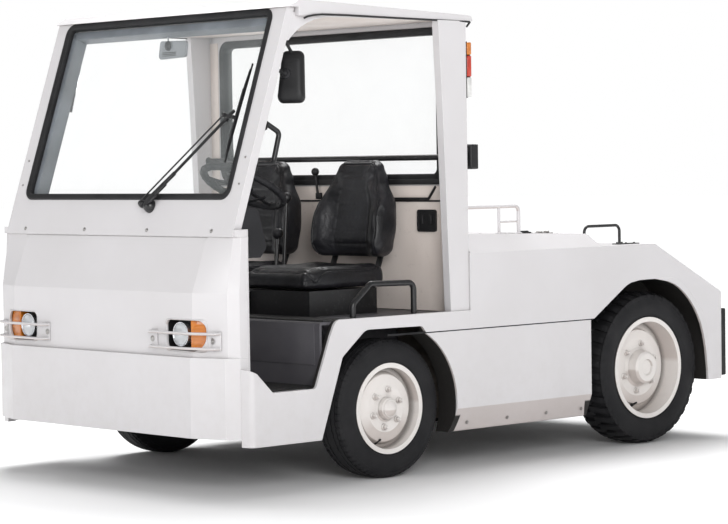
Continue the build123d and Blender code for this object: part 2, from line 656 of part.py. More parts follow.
def hinge_pin(radius):
    """The lid hinge's pin, or its bore."""
    y, reach = LID_FRONT_Y - MOVING_GAP / 2, 1.2 * HINGE_LENGTH
    z = hood_top(y) + HINGE_R + 1
    return rod((HINGE_X - reach, y, z), (HINGE_X + reach, y, z), radius)


def hinge_leaf(x, way):
    """One knuckle of a lid hinge with its leaf, way -1 on the body and 1 on the lid."""
    y, half = LID_FRONT_Y - MOVING_GAP / 2, HINGE_LENGTH / 2
    z = hood_top(y) + HINGE_R + 1
    knuckle = rod((x - half, y, z), (x + half, y, z), HINGE_R)
    near, far = sorted((y + way * 2, y + way * 30))
    leaf = block(x - half, x + half, near, far, hood_top(y) - 2, z - HINGE_R + 4)
    return knuckle + leaf


def hood_top(y):
    """Height of the raised hood at a station."""
    share = (y - REAR_WALL_Y - 5) / (HOOD_REAR_Y - REAR_WALL_Y - 5)
    return HOOD_FRONT_Z + share * (HOOD_REAR_Z - HOOD_FRONT_Z)


def make_engine_hood():
    """Lid over the engine, hinged along its front edge."""
    lid = (hood_form() - hood_form(SKIN, SKIN)) & lid_opening(0)
    for sign in (1, -1):
        lid += on_side(hinge_leaf(HINGE_X, 1) - hinge_pin(HINGE_PIN_R + SPINDLE_PLAY), sign)
    return lid


def make_rear_bumper():
    """Rubber-faced plate across the tail."""
    rows = mirrored([(HALF_WIDTH, BUMPER_LOW_Z, 8), (HALF_WIDTH, BUMPER_HIGH_Z, 8)])
    return prism_y(rows, TAIL_Y + SEAT, TAIL_Y + BUMPER_THICK)


def make_tow_hitch():
    """Stepped drawbar jaw: four lugs on a back plate."""
    y = TAIL_Y + BUMPER_THICK + SEAT
    hitch = block(-JAW_HALF - 30, JAW_HALF + 30, y, y + 16, JAW_LOW_Z, JAW_TOP_Z)
    hitch = fillet(hitch.edges().filter_by(Axis.Y), 12)
    for step in range(4):
        z = JAW_LOW_Z + 10 + step * LUG_PITCH
        hitch += prism_z(mirrored([(JAW_HALF, y + 10, 0), (JAW_HALF - 20, y + JAW_REACH, 20)]), z, z + PLATE)
    for sign in (1, -1):
        web = prism_x([(y + 10, JAW_LOW_Z + 10, 0), (y + 30, JAW_LOW_Z + 10, 0), (y + 30, JAW_TOP_Z - 12, 0),
                       (y + 10, JAW_TOP_Z - 12, 0)], JAW_HALF - 18, JAW_HALF - 6)
        hitch += on_side(web, sign)
    pin_y = y + JAW_REACH - 30
    return hitch - rod((0, pin_y, JAW_LOW_Z - 100), (0, pin_y, JAW_TOP_Z + 80), HITCH_PIN_R + 1.5)


def make_hitch_pin():
    """Drop pin with its grip."""
    y = TAIL_Y + BUMPER_THICK + SEAT + JAW_REACH - 30
    seat_z = JAW_LOW_Z + 10 + 3 * LUG_PITCH + PLATE + SEAT
    top = JAW_TOP_Z + 40
    pin = rod((0, y, JAW_LOW_Z), (0, y, top), HITCH_PIN_R) + rod((0, y, seat_z), (0, y, seat_z + 8), 24)
    return pin + rod((-45, y, top), (45, y, top), 7)


# ---------------------------------------------------------------------------------------------------
# Fittings
# ---------------------------------------------------------------------------------------------------
def make_headlamp():
    """Left lamp cluster: a rounded tray in the pocket, a dished round lamp and the corner lens."""
    back = FRONT_Y + LAMP_DEPTH - SEAT
    lamp = prism_y(lamp_rows(SEAT), back - 50, back)
    lamp -= prism_y(lamp_rows(SEAT + 4), back - 60, back - 8)
    face = FRONT_Y + 14
    section = [(0, face + 8), (BOWL_R - 8, face + 3), (BOWL_R - 6, face), (BOWL_R, face), (BOWL_R, face + 12),
               (BOWL_R - 9, back - 6), (0, back - 6)]
    bowl = revolve(Plane.XY * make_face(Polyline(*section, close=True)).face(), Axis.Y)
    lamp += Pos(BOWL_X, 0, BOWL_Z) * bowl
    corner = rounded(LAMP_OUT_X - 83, LAMP_OUT_X - 10, LAMP_LOW_Z + 10, LAMP_TOP_Z - 7, 10)
    lens = prism_y(corner, FRONT_Y + 5, back - 6)
    lamp += lens & shell_between(front_plan(4), BUMPER_TOP_Z, front_plan(4), MID_CREASE_Z)
    return lamp


def make_lamp_guard():
    """Left guard: two bars across the lamp with a bolted ear at each end."""
    bar_y = FRONT_Y - 28
    ear_in, ear_out = LAMP_IN_X - 67, LAMP_OUT_X + 35
    corner = FLAT_HALF + 5
    ear_z = LAMP_LOW_Z + 48
    guard = block(ear_in - 26, ear_in + 16, FRONT_Y - 6 - SEAT, FRONT_Y - SEAT, ear_z - 39, ear_z + 39)
    facet = (FACET_HALF - FLAT_HALF, FACET_Y - FRONT_Y, 0)
    ear = Plane(origin=facet_point(ear_out + 8, 3 + SEAT, ear_z), x_dir=facet, z_dir=(0, 0, 1))
    guard += ear * Box(42, 6, 78)
    for z in (ear_z - 31, ear_z + 31):
        path = [(ear_in - 20, FRONT_Y - 4, z), (ear_in - 10, bar_y, z), (corner, bar_y, z),
                facet_point(ear_out + 12, -bar_y + FRONT_Y, z), facet_point(ear_out + 22, 4, z)]
        guard += bent_tube(path, 6, 6)
    return guard


# Bars of the wiper: ends as (x, height, distance off the frame's face) and radius
WIPER_BARS = (
    ((215, 1200, 30), (600, 1552, 24), 7),     # driving arm
    ((165, 1225, 26), (585, 1580, 24), 4),     # parallel arm
    ((140, 1215, 26), (250, 1200, 26), 9),     # link at the foot
    ((655, 1600, 8), (600, 1552, 24), 8),      # bridge to the blade
    ((585, 1580, 24), (655, 1600, 12), 6),
    ((668, 1790, 8), (640, 1376, 8), 7),       # blade
)


def off_screen(x, z, off):
    """A point at a distance in front of the windscreen frame's face."""
    lean = hypot(1, RAKE_RUN)
    return (x, screen_y(z) - off / lean, z + off * RAKE_RUN / lean)


def make_wiper():
    """Wiper with a covered base, two parallel arms and its blade."""
    wiper = rod(off_screen(215, 1195, SEAT), off_screen(215, 1195, 34), 30)
    for start, end, radius in WIPER_BARS:
        wiper += rod(off_screen(*start), off_screen(*end), radius)
    return wiper


def make_mirror():
    """Left rear-view mirror on its stalk from the pillar."""
    x = PILLAR_HALF - 30
    rim = mirrored([(64, -117.5, 30), (75, 117.5, 26)])
    crown = mirrored([(46, -96, 30), (56, 96, 26)])
    glass = prism_y(rim, 0, 17)
    back = loft([Plane.XZ * outline(rim), Plane.XZ.offset(17) * outline(crown)])
    head = Pos(x + 1, -489, 1736) * Rot(0, 0, -12) * (glass + back)
    foot_y = screen_y(1900) + FRAME_DEPTH + SEAT + 3
    stalk = bent_tube([(x, foot_y, 1900), (x, -505, 1900), (x, -500, 1800)], 8, 20)
    return head + stalk


def make_interior_mirror():
    """Rounded glass plate hung from the header on a thin stalk."""
    y = screen_y(ROOF_EDGE_Z) + FRAME_DEPTH + SEAT + 3
    foot = (-45, y + 6, ROOF_EDGE_Z)
    rows = [(-125, 1840, 18), (62, 1846, 18), (72, 1918, 14), (-108, 1922, 14)]
    plate = prism_y(rows, y + 12, y + 26)
    clamp = rod((-45, y + 2, 1899), (-45, y + 14, 1899), 20)
    return plate + clamp + rod(foot, (-45, y + 6, 1899), 3.5) + rod(foot, (-45, y + 6, ROOF_EDGE_Z - 12), 9)


def make_grab_handle():
    """Left entry handle on the windscreen pillar."""
    x = PILLAR_HALF - 12
    def foot(z):
        return (x, screen_y(z) + FRAME_DEPTH + SEAT + 4, z)
    low, high = foot(1371), foot(1540)
    return bent_tube([low, (x, low[1] + 95, 1371), (x, high[1] + 75, 1500), high], 11, 22)


def make_hip_guard():
    """Left hoop beside the seat."""
    x, foot = HALF_WIDTH - SIDE_WALL - 25, PLATFORM_Z + SEAT
    return bent_tube([(x, -214, foot), (x, -214, foot + 65), (x, -110, foot + 148), (x, 151, foot + 143),
                      (x, 151, foot)], 13, 32)


def make_seat_cushion():
    cushion = block(SEAT_X - SEAT_HALF, SEAT_X + SEAT_HALF, SEAT_FRONT_Y, SEAT_REAR_Y, SEAT_LOW_Z, SEAT_TOP_Z)
    return fillet(cushion.edges(), 40)


def make_seat_back():
    """Left backrest, leaning back and narrower at the top."""
    base_z = SEAT_TOP_Z + SEAT
    plane = Plane(origin=(SEAT_X, SEAT_REAR_Y + 20, base_z), x_dir=(1, 0, 0), z_dir=(0, -1, 0.2))
    rows = mirrored([(SEAT_HALF - 12, -60, 0), (SEAT_HALF + 8, 270, 120), (130, 455, 90)])
    back = extrude(plane * outline(rows), 95)
    back -= block(SEAT_X - 300, SEAT_X + 300, 0, 400, base_z - 100, base_z)
    upper = [edge for edge in back.edges() if edge.center().Z > base_z + 60]
    return fillet(upper, 24)


def make_seat_base():
    """Two pedestals and the lever console between them."""
    top = SEAT_LOW_Z - SEAT
    front, rear = SEAT_FRONT_Y + 30, SEAT_REAR_Y - 62
    base = block(-CONSOLE_HALF, CONSOLE_HALF, SEAT_FRONT_Y + 5, 340, PLATFORM_Z, top - 12)
    for sign in (1, -1):
        pedestal = block(SEAT_X - 170, SEAT_X + 220, front, rear, PLATFORM_Z, top)
        joint = block(CONSOLE_HALF - 40, SEAT_X - 160, rear - 140, rear, PLATFORM_Z, top - 32)
        base += on_side(pedestal, sign) + on_side(joint, sign)
    for x, height in ((0, 415), (-60, 250)):
        foot, head = (x, 120, top - 20), (x, 150, top - 12 + height)
        base += rod(foot, head, 9) + Pos(*head) * Sphere(24)
    return base


def make_instrument_panel():
    """Dash across the cab with the steering column's shroud."""
    low_y = screen_y(COVER_TOP_Z) + FRAME_DEPTH + SEAT
    top_y = screen_y(1185) + FRAME_DEPTH + SEAT
    dash = prism_x([(low_y, 980, 0), (low_y, COVER_TOP_Z, 0), (top_y, 1185, 0), (top_y + 110, 1190, 30),
                    (top_y + 155, 1020, 25), (top_y + 120, 980, 0)], 54 - PILLAR_HALF, PILLAR_HALF - 54)
    return dash + rod(COLUMN_FOOT, STEERING_CENTRE, 32)


COLUMN_FOOT = (SEAT_X, -690.0, 1080.0)
STEERING_CENTRE = (SEAT_X, -385.0, 1250.0)
STEERING_R = 200.0


def make_steering_wheel():
    axis = (Vector(*STEERING_CENTRE) - Vector(*COLUMN_FOOT)).normalized()
    plane = Plane(origin=Vector(*STEERING_CENTRE) + axis * (15 + SEAT), z_dir=axis)
    wheel = plane * Torus(STEERING_R - 13, 13)
    wheel += plane * Cylinder(45, 30)
    for angle in (0, 120, 240):
        end = plane * Rot(0, 0, angle + 90) * Pos(STEERING_R - 13, 0, 0)
        wheel += rod(tuple(plane.origin), tuple(end.position), 9)
    return wheel


def make_rear_lamp():
    """Left rear lamp on the cab's rear corner."""
    x_low, x_high = CAB_SIDE - 52, CAB_SIDE - 4
    y_low, y_high = REAR_WALL_Y + SEAT, REAR_WALL_Y + 42
    body = fillet(block(x_low, x_high, y_low, y_high, LAMP_FOOT_Z, LAMP_HEAD_Z).edges(), 6)
    for share in (0.4, 0.8):
        z = LAMP_FOOT_Z + share * (LAMP_HEAD_Z - LAMP_FOOT_Z)
        body -= block(x_low - 5, x_high + 5, y_high - 2, y_high + 5, z - 1, z + 1)
    return body


LAMP_FOOT_Z = 1648.0
LAMP_HEAD_Z = 1899.0


def make_work_lamp():
    """Left rear work lamp on its stub."""
    front, back = REAR_WALL_Y + 22, REAR_WALL_Y + 70
    lamp = fillet(block(CAB_SIDE - 70, CAB_SIDE + 2, front, back, 1333, 1444).edges(), 10)
    return lamp + rod((CAB_SIDE - 34, REAR_WALL_Y + SEAT, 1390), (CAB_SIDE - 34, REAR_WALL_Y + 30, 1390), 14)


def make_deck_rail():
    """Left luggage rail on the hood's border."""
    x, top = HOOD_HALF - 50, HOOD_FRONT_Z + 115
    front, rear = REAR_WALL_Y + 40, REAR_WALL_Y + 455
    stay = rear - 130
    rail = bent_tube([(x, front, hood_top(front) + 1), (x, front, top), (x, rear, top),
                      (x, rear, hood_top(rear) + 1)], 9, 25)
    rail += rod((x, stay, top), (x, stay, hood_top(stay) + 1), 7)
    return rail + rod((x, stay, top - 70), (x, rear, top - 70), 5)


def make_deck_handle():
    """Left lifting loop behind the hood."""
    x, foot, top = HOOD_HALF - 100, DECK_Z + SEAT, DECK_Z + 89
    front, rear = HOOD_FOOT_Y + 27, DECK_END_Y - 50
    return bent_tube([(x, front, foot), (x, front, top), (x, rear, top), (x, rear, foot)], 7, 30)


# ---------------------------------------------------------------------------------------------------
# Writing the pieces
# ---------------------------------------------------------------------------------------------------
SINGLE = {
    "chassis_frame": make_chassis_frame,
    "front_axle": make_front_axle,
    "tie_rod": make_tie_rod,
    "rear_axle": make_rear_axle,
    "engine_block": make_engine_block,
    "front_cover": make_front_cover,
    "front_bumper_plate": make_front_bumper_plate,
    "cab_front": make_cab_front,
    "windscreen": make_windscreen,
    "roof": make_roof,
    "cab_rear_wall": make_cab_rear_wall,
    "rear_window": make_rear_window,
    "cab_floor": make_cab_floor,
    "rear_body": make_rear_body,
    "engine_hood": make_engine_hood,
    "rear_bumper": make_rear_bumper,
    "tow_hitch": make_tow_hitch,
    "hitch_pin": make_hitch_pin,
    "wiper": make_wiper,
    "seat_base": make_seat_base,
    "instrument_panel": make_instrument_panel,
    "steering_wheel": make_steering_wheel,
    "interior_mirror": make_interior_mirror,
}

HANDED = {
    "front_tyre": make_front_tyre,
    "front_rim": lambda: make_rim(FRONT, FRONT_DISC),
    "rear_tyre": make_rear_tyre,
    "rear_rim": lambda: make_rim(REAR, REAR_DISC),
    "knuckle": make_knuckle,
    "side_panel": make_side_panel,
    "skirt": make_skirt,
    "headlamp": make_headlamp,
    "lamp_guard": make_lamp_guard,
    "mirror": make_mirror,
    "grab_handle": make_grab_handle,
    "hip_guard": make_hip_guard,
    "seat_cushion": make_seat_cushion,
    "seat_back": make_seat_back,
    "rear_lamp": make_rear_lamp,
    "work_lamp": make_work_lamp,
    "deck_rail": make_deck_rail,
    "deck_handle": make_deck_handle,
}


def all_pieces():
    """Every piece by name, right-hand ones mirrored from the left."""
    pieces = {name: make() for name, make in SINGLE.items()}
    for name, make in HANDED.items():
        left = make()
        for side, sign in (("left", 1), ("right", -1)):
            pieces[f"{name}_{side}"] = on_side(left, sign)
    return pieces


def main():
    pieces = all_pieces()
    boxes = [piece.bounding_box() for piece in pieces.values()]
    middle = (min(box.min.Y for box in boxes) + max(box.max.Y for box in boxes)) / 2
    os.makedirs("parts", exist_ok=True)
    for name, piece in pieces.items():
        export_step(Pos(0, -middle, 0) * piece, f"parts/{name}.step")
    print("pieces", len(pieces), "middle station", round(middle, 3))


main()
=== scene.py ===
"""The airport baggage tug in full dress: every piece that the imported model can't carry.

Lengths are millimetres and stations run back from the front axle, as the fitters count them. X points to
the vehicle's left and Y to its rear. Each section is one piece or one group of like pieces, in the order
of assembly.
"""
from collections import namedtuple
from math import cos, pi, radians, sin

import bmesh
import bpy
from mathutils import Matrix, Vector
from mathutils.bvhtree import BVHTree


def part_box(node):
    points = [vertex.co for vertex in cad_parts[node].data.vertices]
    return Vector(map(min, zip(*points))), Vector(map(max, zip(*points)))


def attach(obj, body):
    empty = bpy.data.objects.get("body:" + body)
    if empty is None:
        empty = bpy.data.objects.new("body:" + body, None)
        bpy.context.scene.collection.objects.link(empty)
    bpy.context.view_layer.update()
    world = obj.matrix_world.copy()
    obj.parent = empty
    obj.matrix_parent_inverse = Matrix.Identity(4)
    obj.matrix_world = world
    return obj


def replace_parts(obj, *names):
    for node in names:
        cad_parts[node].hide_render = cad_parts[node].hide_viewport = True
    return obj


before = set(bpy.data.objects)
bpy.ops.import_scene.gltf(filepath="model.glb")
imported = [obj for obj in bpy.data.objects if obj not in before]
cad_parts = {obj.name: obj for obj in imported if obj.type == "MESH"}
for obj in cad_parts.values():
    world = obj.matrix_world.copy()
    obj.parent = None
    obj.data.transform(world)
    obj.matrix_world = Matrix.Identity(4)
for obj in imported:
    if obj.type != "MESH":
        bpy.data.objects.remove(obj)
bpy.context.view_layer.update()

# Studio. A pale floor, a white backdrop, one large soft box over the tug and two beside the camera, which
# stands to the front left of the vehicle at chest height, far off on a long lens.
MM = 0.001
AXLE_LOW, AXLE_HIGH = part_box("front_axle")
AXLE_Y = (AXLE_LOW.y + AXLE_HIGH.y) / 2
Finish = namedtuple("Finish", "material slot")          # a material and its slot in the parts table


def place(x, station, z):
    """A point given by its distance to the left, its station behind the front axle and its height."""
    return Vector((x * MM, AXLE_Y + station * MM, z * MM))


class Wire:
    """A socket in a finish. Sums written on it add the Math nodes that work them out."""

    def __init__(self, socket):
        self.socket = socket

    def node(self, kind, settings=None, sockets=None, output=0):
        """Any other node: its settings first, then the values or wires of its sockets."""
        tree = self.socket.id_data
        made = tree.nodes.new(kind)
        for name, value in (settings or {}).items():
            setattr(made, name, value)
        for name, value in (sockets or {}).items():
            if isinstance(value, Wire):
                tree.links.new(value.socket, made.inputs[name])
            else:
                made.inputs[name].default_value = value
        return Wire(made.outputs[output])

    def math(self, operation, first, second=0.0):
        return self.node("ShaderNodeMath", {"operation": operation}, {0: first, 1: second})

    def __add__(self, other):
        return self.math("ADD", self, other)

    def __sub__(self, other):
        return self.math("SUBTRACT", self, other)

    def __mul__(self, other):
        return self.math("MULTIPLY", self, other)

    def __rsub__(self, other):
        return self.math("SUBTRACT", other, self)

    __radd__ = __add__

    def root(self):
        return self.math("SQRT", self)

    def size(self):
        return self.math("ABSOLUTE", self)

    def most(self, other):
        return self.math("MAXIMUM", self, other)

    def between(self, low, high):
        """0 below low, 1 above high."""
        return self.node("ShaderNodeMapRange", {}, {"Value": self, "From Min": low, "From Max": high})

    def mix(self, low, high):
        """A colour from low to high as this goes from 0 to 1."""
        low, high = (tone if isinstance(tone, Wire) else (*tone, 1) for tone in (low, high))
        return self.node("ShaderNodeMix", {"data_type": "RGBA"}, {0: self, 6: low, 7: high}, 2)

    def noise(self, scale, detail=2.0, rough=0.5):
        return self.node("ShaderNodeTexNoise", {}, {"Vector": self, "Scale": scale, "Detail": detail,
                                                    "Roughness": rough})

    def cells(self, scale):
        return self.node("ShaderNodeTexVoronoi", {}, {"Vector": self, "Scale": scale})

    def ribs(self, axis, scale):
        """Smooth waves along an axis."""
        return self.node("ShaderNodeTexWave", {"bands_direction": axis}, {"Vector": self, "Scale": scale}, 1)

    def stretched(self, x, y, z):
        """These coordinates scaled along each axis."""
        return self.node("ShaderNodeMapping", {}, {"Vector": self, "Scale": (x, y, z)})

    def part(self, axis):
        """The x, y or z of these coordinates."""
        return self.node("ShaderNodeSeparateXYZ", {}, {"Vector": self}, "XYZ".index(axis))

    def bump(self, depth, normal=None):
        """A normal that follows this height, depth metres from its lowest to its highest."""
        return self.node("ShaderNodeBump", {}, {"Height": self, "Distance": depth,
                                                **({"Normal": normal} if normal else {})})


def start_finish(name):
    """A new material and the wire of its Object coordinates."""
    material = bpy.data.materials.new(name)
    material.use_nodes = True
    return material, Wire(material.node_tree.nodes.new("ShaderNodeTexCoord").outputs["Object"])


def set_surface(material, slot, sockets):
    """Sets the shader's own sockets to values or wires."""
    shader = material.node_tree.nodes["Principled BSDF"]
    for name, value in sockets.items():
        if isinstance(value, Wire):
            material.node_tree.links.new(value.socket, shader.inputs[name])
        else:
            shader.inputs[name].default_value = value
    return Finish(material, slot)


def studio_floor():
    """Pale matt paint with a faint mottle. It glows more and more away from the tug, painted light that washes its far
    edges out into the white backdrop.
    """
    material, where = start_finish("studio_floor")
    tone = where.noise(0.8, 3.0).mix((0.86, 0.86, 0.865), (0.88, 0.88, 0.885))
    away = (where.part("X") * where.part("X") + where.part("Y") * where.part("Y")).root().between(2.2, 6.0)
    return set_surface(material, None, {"Base Color": tone, "Roughness": 0.85, "Emission Strength": 1.0,
                                        "Emission Color": away.mix((0.0, 0.0, 0.0), (0.72, 0.72, 0.72))})


def stand(name, data, matrix=None):
    """Puts a new object into the scene."""
    made = bpy.data.objects.new(name, data)
    bpy.context.scene.collection.objects.link(made)
    if matrix:
        made.matrix_world = matrix
    return made


floor_shape = bmesh.new()
bmesh.ops.create_grid(floor_shape, x_segments=1, y_segments=1, size=60.0)
floor_mesh = bpy.data.meshes.new("studio_floor")
floor_shape.to_mesh(floor_mesh)
floor_shape.free()
floor_mesh.materials.append(studio_floor().material)
stand("studio_floor", floor_mesh)

LENS, SENSOR, FAR = 123.7, 36.0, 200.0
CAMERA_TURN, CAMERA_TILT, CAMERA_ROLL = radians(46.749), radians(2.283), radians(-0.881)
camera_data = bpy.data.cameras.new("camera")
camera_data.lens, camera_data.sensor_width, camera_data.clip_end = LENS, SENSOR, FAR
bpy.context.scene.camera = stand("camera", camera_data, (
    Matrix.Translation(place(8626, -7482, 1371)) @ Matrix.Rotation(CAMERA_TURN, 4, "Z")
    @ Matrix.Rotation(pi / 2 - CAMERA_TILT, 4, "X") @ Matrix.Rotation(CAMERA_ROLL, 4, "Z")))
bpy.context.scene.view_settings.view_transform = "Standard"

SOFT_BOXES = (                    # where each stands, what it faces, its side in metres and its watts
    ("overhead_box", (-2.0, 1.7, 7.0), (0, 0, 0), 5.5, 780.0),
    ("key_box", (7.6, -5.2, 3.1), (0, 0, 0.9), 3.4, 370.0),
    ("front_box", (-2.4, -9.2, 2.5), (0.2, -1.5, 0.9), 2.4, 125.0),
)
for name, at, aim, size, power in SOFT_BOXES:
    light = bpy.data.lights.new(name, "AREA")
    light.size, light.energy = size, power
    stand(name, light, (Matrix.Translation(at)
                        @ (Vector(aim) - Vector(at)).to_track_quat("-Z", "Y").to_matrix().to_4x4()))

ROOM_LIGHT, BACKDROP = 0.42, 1.0          # the backdrop is white, but lights the room only dimly
room = bpy.data.worlds.new("room")
room.use_nodes = True
backdrop = room.node_tree.nodes["Background"]
backdrop.inputs["Color"].default_value = (1.0, 1.0, 1.0, 1)
seen = room.node_tree.nodes.new("ShaderNodeLightPath")
level = room.node_tree.nodes.new("ShaderNodeMapRange")
level.inputs["To Min"].default_value, level.inputs["To Max"].default_value = ROOM_LIGHT, BACKDROP
room.node_tree.links.new(seen.outputs["Is Camera Ray"], level.inputs["Value"])
room.node_tree.links.new(level.outputs["Result"], backdrop.inputs["Strength"])
bpy.context.scene.world = room


# Chassis and running gear. Rails, axles and knuckles are sprayed black over scale, the kingpins and the
# tie rod's ends are bright steel gone dull, and the engine is cast iron in grey paint with oil on it.
def mottled(name, slot, blotch, limits, low, high, rough, grain=None, more=None):
    """A finish in two tones. The blotches' noise is none at the first limit and full at the second, and
    changes the roughness by rough's second value. grain is a noise, or one cell size, and its depth. more
    sets other sockets, to values or by functions of the coordinates and the blotches."""
    material, where = start_finish(name)
    mask = where.noise(*blotch).between(*limits)
    sockets = {"Base Color": mask.mix(low, high), "Roughness": rough[0] + mask * rough[1]}
    if grain:
        *pattern, depth = grain
        sockets["Normal"] = (where.noise(*pattern) if len(pattern) > 1 else where.cells(*pattern)).bump(depth)
    for socket, value in (more or {}).items():
        sockets[socket] = value(where, mask) if callable(value) else value
    return set_surface(material, slot, sockets)


def paint_nodes(finish, *names):
    """Gives CAD nodes their finish."""
    for name in names:
        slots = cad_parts[name].data.materials
        slots.clear()
        slots.append(finish.material)


CHASSIS_BLACK = mottled("chassis_black", None, (9.0, 5.0, 0.6), (0.45, 0.75), (0.012, 0.012, 0.013),
                        (0.035, 0.031, 0.027), (0.45, 0.35), (160.0, 3.0, 0.0008))
BARE_STEEL = mottled("bare_steel", "steel", (38.0, 6.0, 0.65), (0.55, 0.72), (0.36, 0.35, 0.34),
                     (0.11, 0.055, 0.03), (0.32, 0.4), None, {
                         "Metallic": lambda where, rust: 0.95 - rust * 0.8,
                         "Normal": lambda where, rust: where.stretched(1.0, 1.0, 14.0).noise(420.0, 2.0).bump(0.0002)})
ENGINE_GREY = mottled("engine_grey", None, (6.0, 5.0, 0.65), (0.42, 0.66), (0.17, 0.175, 0.18),
                      (0.035, 0.032, 0.03), (0.55, -0.25), (210.0, 4.0, 0.7, 0.0012))
paint_nodes(CHASSIS_BLACK, "chassis_frame", "front_axle", "rear_axle", "knuckle_left", "knuckle_right")
paint_nodes(BARE_STEEL, "tie_rod", "hitch_pin")
paint_nodes(ENGINE_GREY, "engine_block")


# Wheels. The pressed rims are sprayed the body's colour. Each has a ring of six coned nuts, a pressed
# cap over the hub and a rubber valve, which all turn with it.
def in_housing(where, station, height, reach):
    """One inside a wheel's housing, behind the outer sheet, and nothing elsewhere."""
    along = where.part("Y") - (AXLE_Y + station * MM)
    up = where.part("Z") - height * MM
    away = (along * along + up * up).root().between(reach * MM, (reach + 3) * MM)
    return (1.0 - away) * (1.0 - where.part("X").size().between(0.866, 0.869))


def sprayed_steel(name, light, dark, rough, edge, corners, housings=()):
    """Off-white machinery enamel: faint mottle, orange peel, folds lightened by a painted highlight and by paint
    worn thin, dust towards the floor, painted shade in corners and on faces that look down, and dark underseal
    in the housings that is also painted shade."""
    material, where = start_finish(name)
    film = where.noise(21.0, 5.0, 0.6).between(0.42, 0.8)
    splash = (1.0 - where.part("Z").between(0.12, 0.75)) * film
    soft = where.node("ShaderNodeBevel", {"samples": 4}, {"Radius": edge})
    facing = where.node("ShaderNodeNewGeometry", {}, {}, 1)
    turn = soft.node("ShaderNodeVectorMath", {"operation": "DOT_PRODUCT"}, {0: soft, 1: facing}, 1)
    # Folds are lightened: a painted highlight where they catch the light, and paint worn thin there.
    fold_wear_and_highlight = 1.0 - turn.between(0.86, 0.995)
    # Faces that look down are darkened: painted shade.
    underside_shade = (0.0 - facing.part("Z")).between(0.05, 0.15)
    # Corners and crevices are darkened by their occlusion: painted shade.
    corner = 1.0 - where.node("ShaderNodeAmbientOcclusion", {"samples": 6}, {"Distance": 0.035}, 1).between(0.3, 0.8)
    # The housings are painted near black: an underseal, and painted shade for their insides.
    underseal_and_shade = film * 0.0
    for housing in housings:
        underseal_and_shade = underseal_and_shade.most(in_housing(where, *housing))
    paint = where.noise(2.2, 4.0, 0.55).between(0.3, 0.7).mix(dark, light)
    for mask, tone in ((fold_wear_and_highlight * 0.55, (0.93, 0.93, 0.93)), (splash * 0.16, (0.42, 0.38, 0.34)),
                       (underside_shade * 0.5, (0.42, 0.345, 0.31)), (corner * corners, (0.09, 0.075, 0.065)),
                       (underseal_and_shade, (0.012, 0.0105, 0.0095))):
        paint = mask.mix(paint, tone)
    return set_surface(material, name, {"Base Color": paint, "Roughness": rough + film * 0.12 + underseal_and_shade * 0.4,
                                        "Normal": where.noise(330.0, 2.0).bump(0.00025, soft)})


def black_rubber(name, slot, tone, dust_tone, rough):
    """Moulded rubber with a bloom of dust."""
    return mottled(name, slot, (7.0, 6.0, 0.65), (0.38, 0.78), tone, dust_tone, (rough, 0.18),
                   (520.0, 4.0, 0.7, 0.0004), {"Specular IOR Level": 0.22})


def turned(shape, rows, start, way, steps=48):
    """Spins rows of (along, radius), in millimetres, round a line through start."""
    way = Vector(way).normalized()
    across = way.orthogonal().normalized()
    verts = [shape.verts.new(start + way * along * MM + across * radius * MM) for along, radius in rows]
    edges = [shape.edges.new(pair) for pair in zip(verts, verts[1:])]
    bmesh.ops.spin(shape, geom=verts + edges, axis=way, cent=start, angle=2 * pi, steps=steps, use_merge=True)


def make_piece(name, finish, strokes, body="tug", slot=None, smooth=35, side=1):
    """Draws a piece, closes its seams and hangs it on a body. strokes are rows of a tool and its values,
    or one function that draws it all. side -1 mirrors it."""
    shape = bmesh.new()
    if callable(strokes):
        strokes(shape)
    else:
        for tool, *values in strokes:
            tool(shape, *values)
    if side < 0:
        bmesh.ops.scale(shape, vec=(-1, 1, 1), verts=shape.verts)
    bmesh.ops.remove_doubles(shape, verts=shape.verts, dist=0.00002)
    bmesh.ops.dissolve_degenerate(shape, dist=0.000005, edges=shape.edges)
    bmesh.ops.recalc_face_normals(shape, faces=shape.faces)
    mesh = bpy.data.meshes.new(name)
    shape.to_mesh(mesh)
    shape.free()
    mesh.materials.append(finish.material)
    mesh.polygons.foreach_set("use_smooth", [True] * len(mesh.polygons))
    mesh.set_sharp_from_angle(angle=radians(smooth))
    made = stand(name, mesh)
    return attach(made, body)


SIDES = (("left", 1), ("right", -1))
LEFT, BACK, UP = Vector((1, 0, 0)), Vector((0, 1, 0)), Vector((0, 0, 1))


def make_pair(name, finish, strokes, replaces=None, **more):
    """A piece on the left and its mirror image on the right."""
    for side, sign in SIDES:
        made = make_piece(f"{name}_{side}", finish, strokes, side=sign, **more)
        if replaces:
            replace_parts(made, f"{replaces}_{side}")


# The wheels take strong painted shade in their corners: round the nuts, at the cap's foot and at the disc's root.
WHEEL_WHITE = sprayed_steel("wheel_white", (0.79, 0.755, 0.73), (0.72, 0.685, 0.66), 0.38, 0.002, 0.75)
SEAL_RUBBER = black_rubber("seal_rubber", "rubber", (0.012, 0.012, 0.013), (0.03, 0.03, 0.032), 0.5)
WHEEL_FITTINGS = (      # nut circle, disc's face from the middle plane, cap radius, dome, valve circle
    ("front", 83.0, 52.0, 44.0, 30.0, 156.0),
    ("rear", 115.0, 27.0, 70.0, 24.0, 190.0),
)


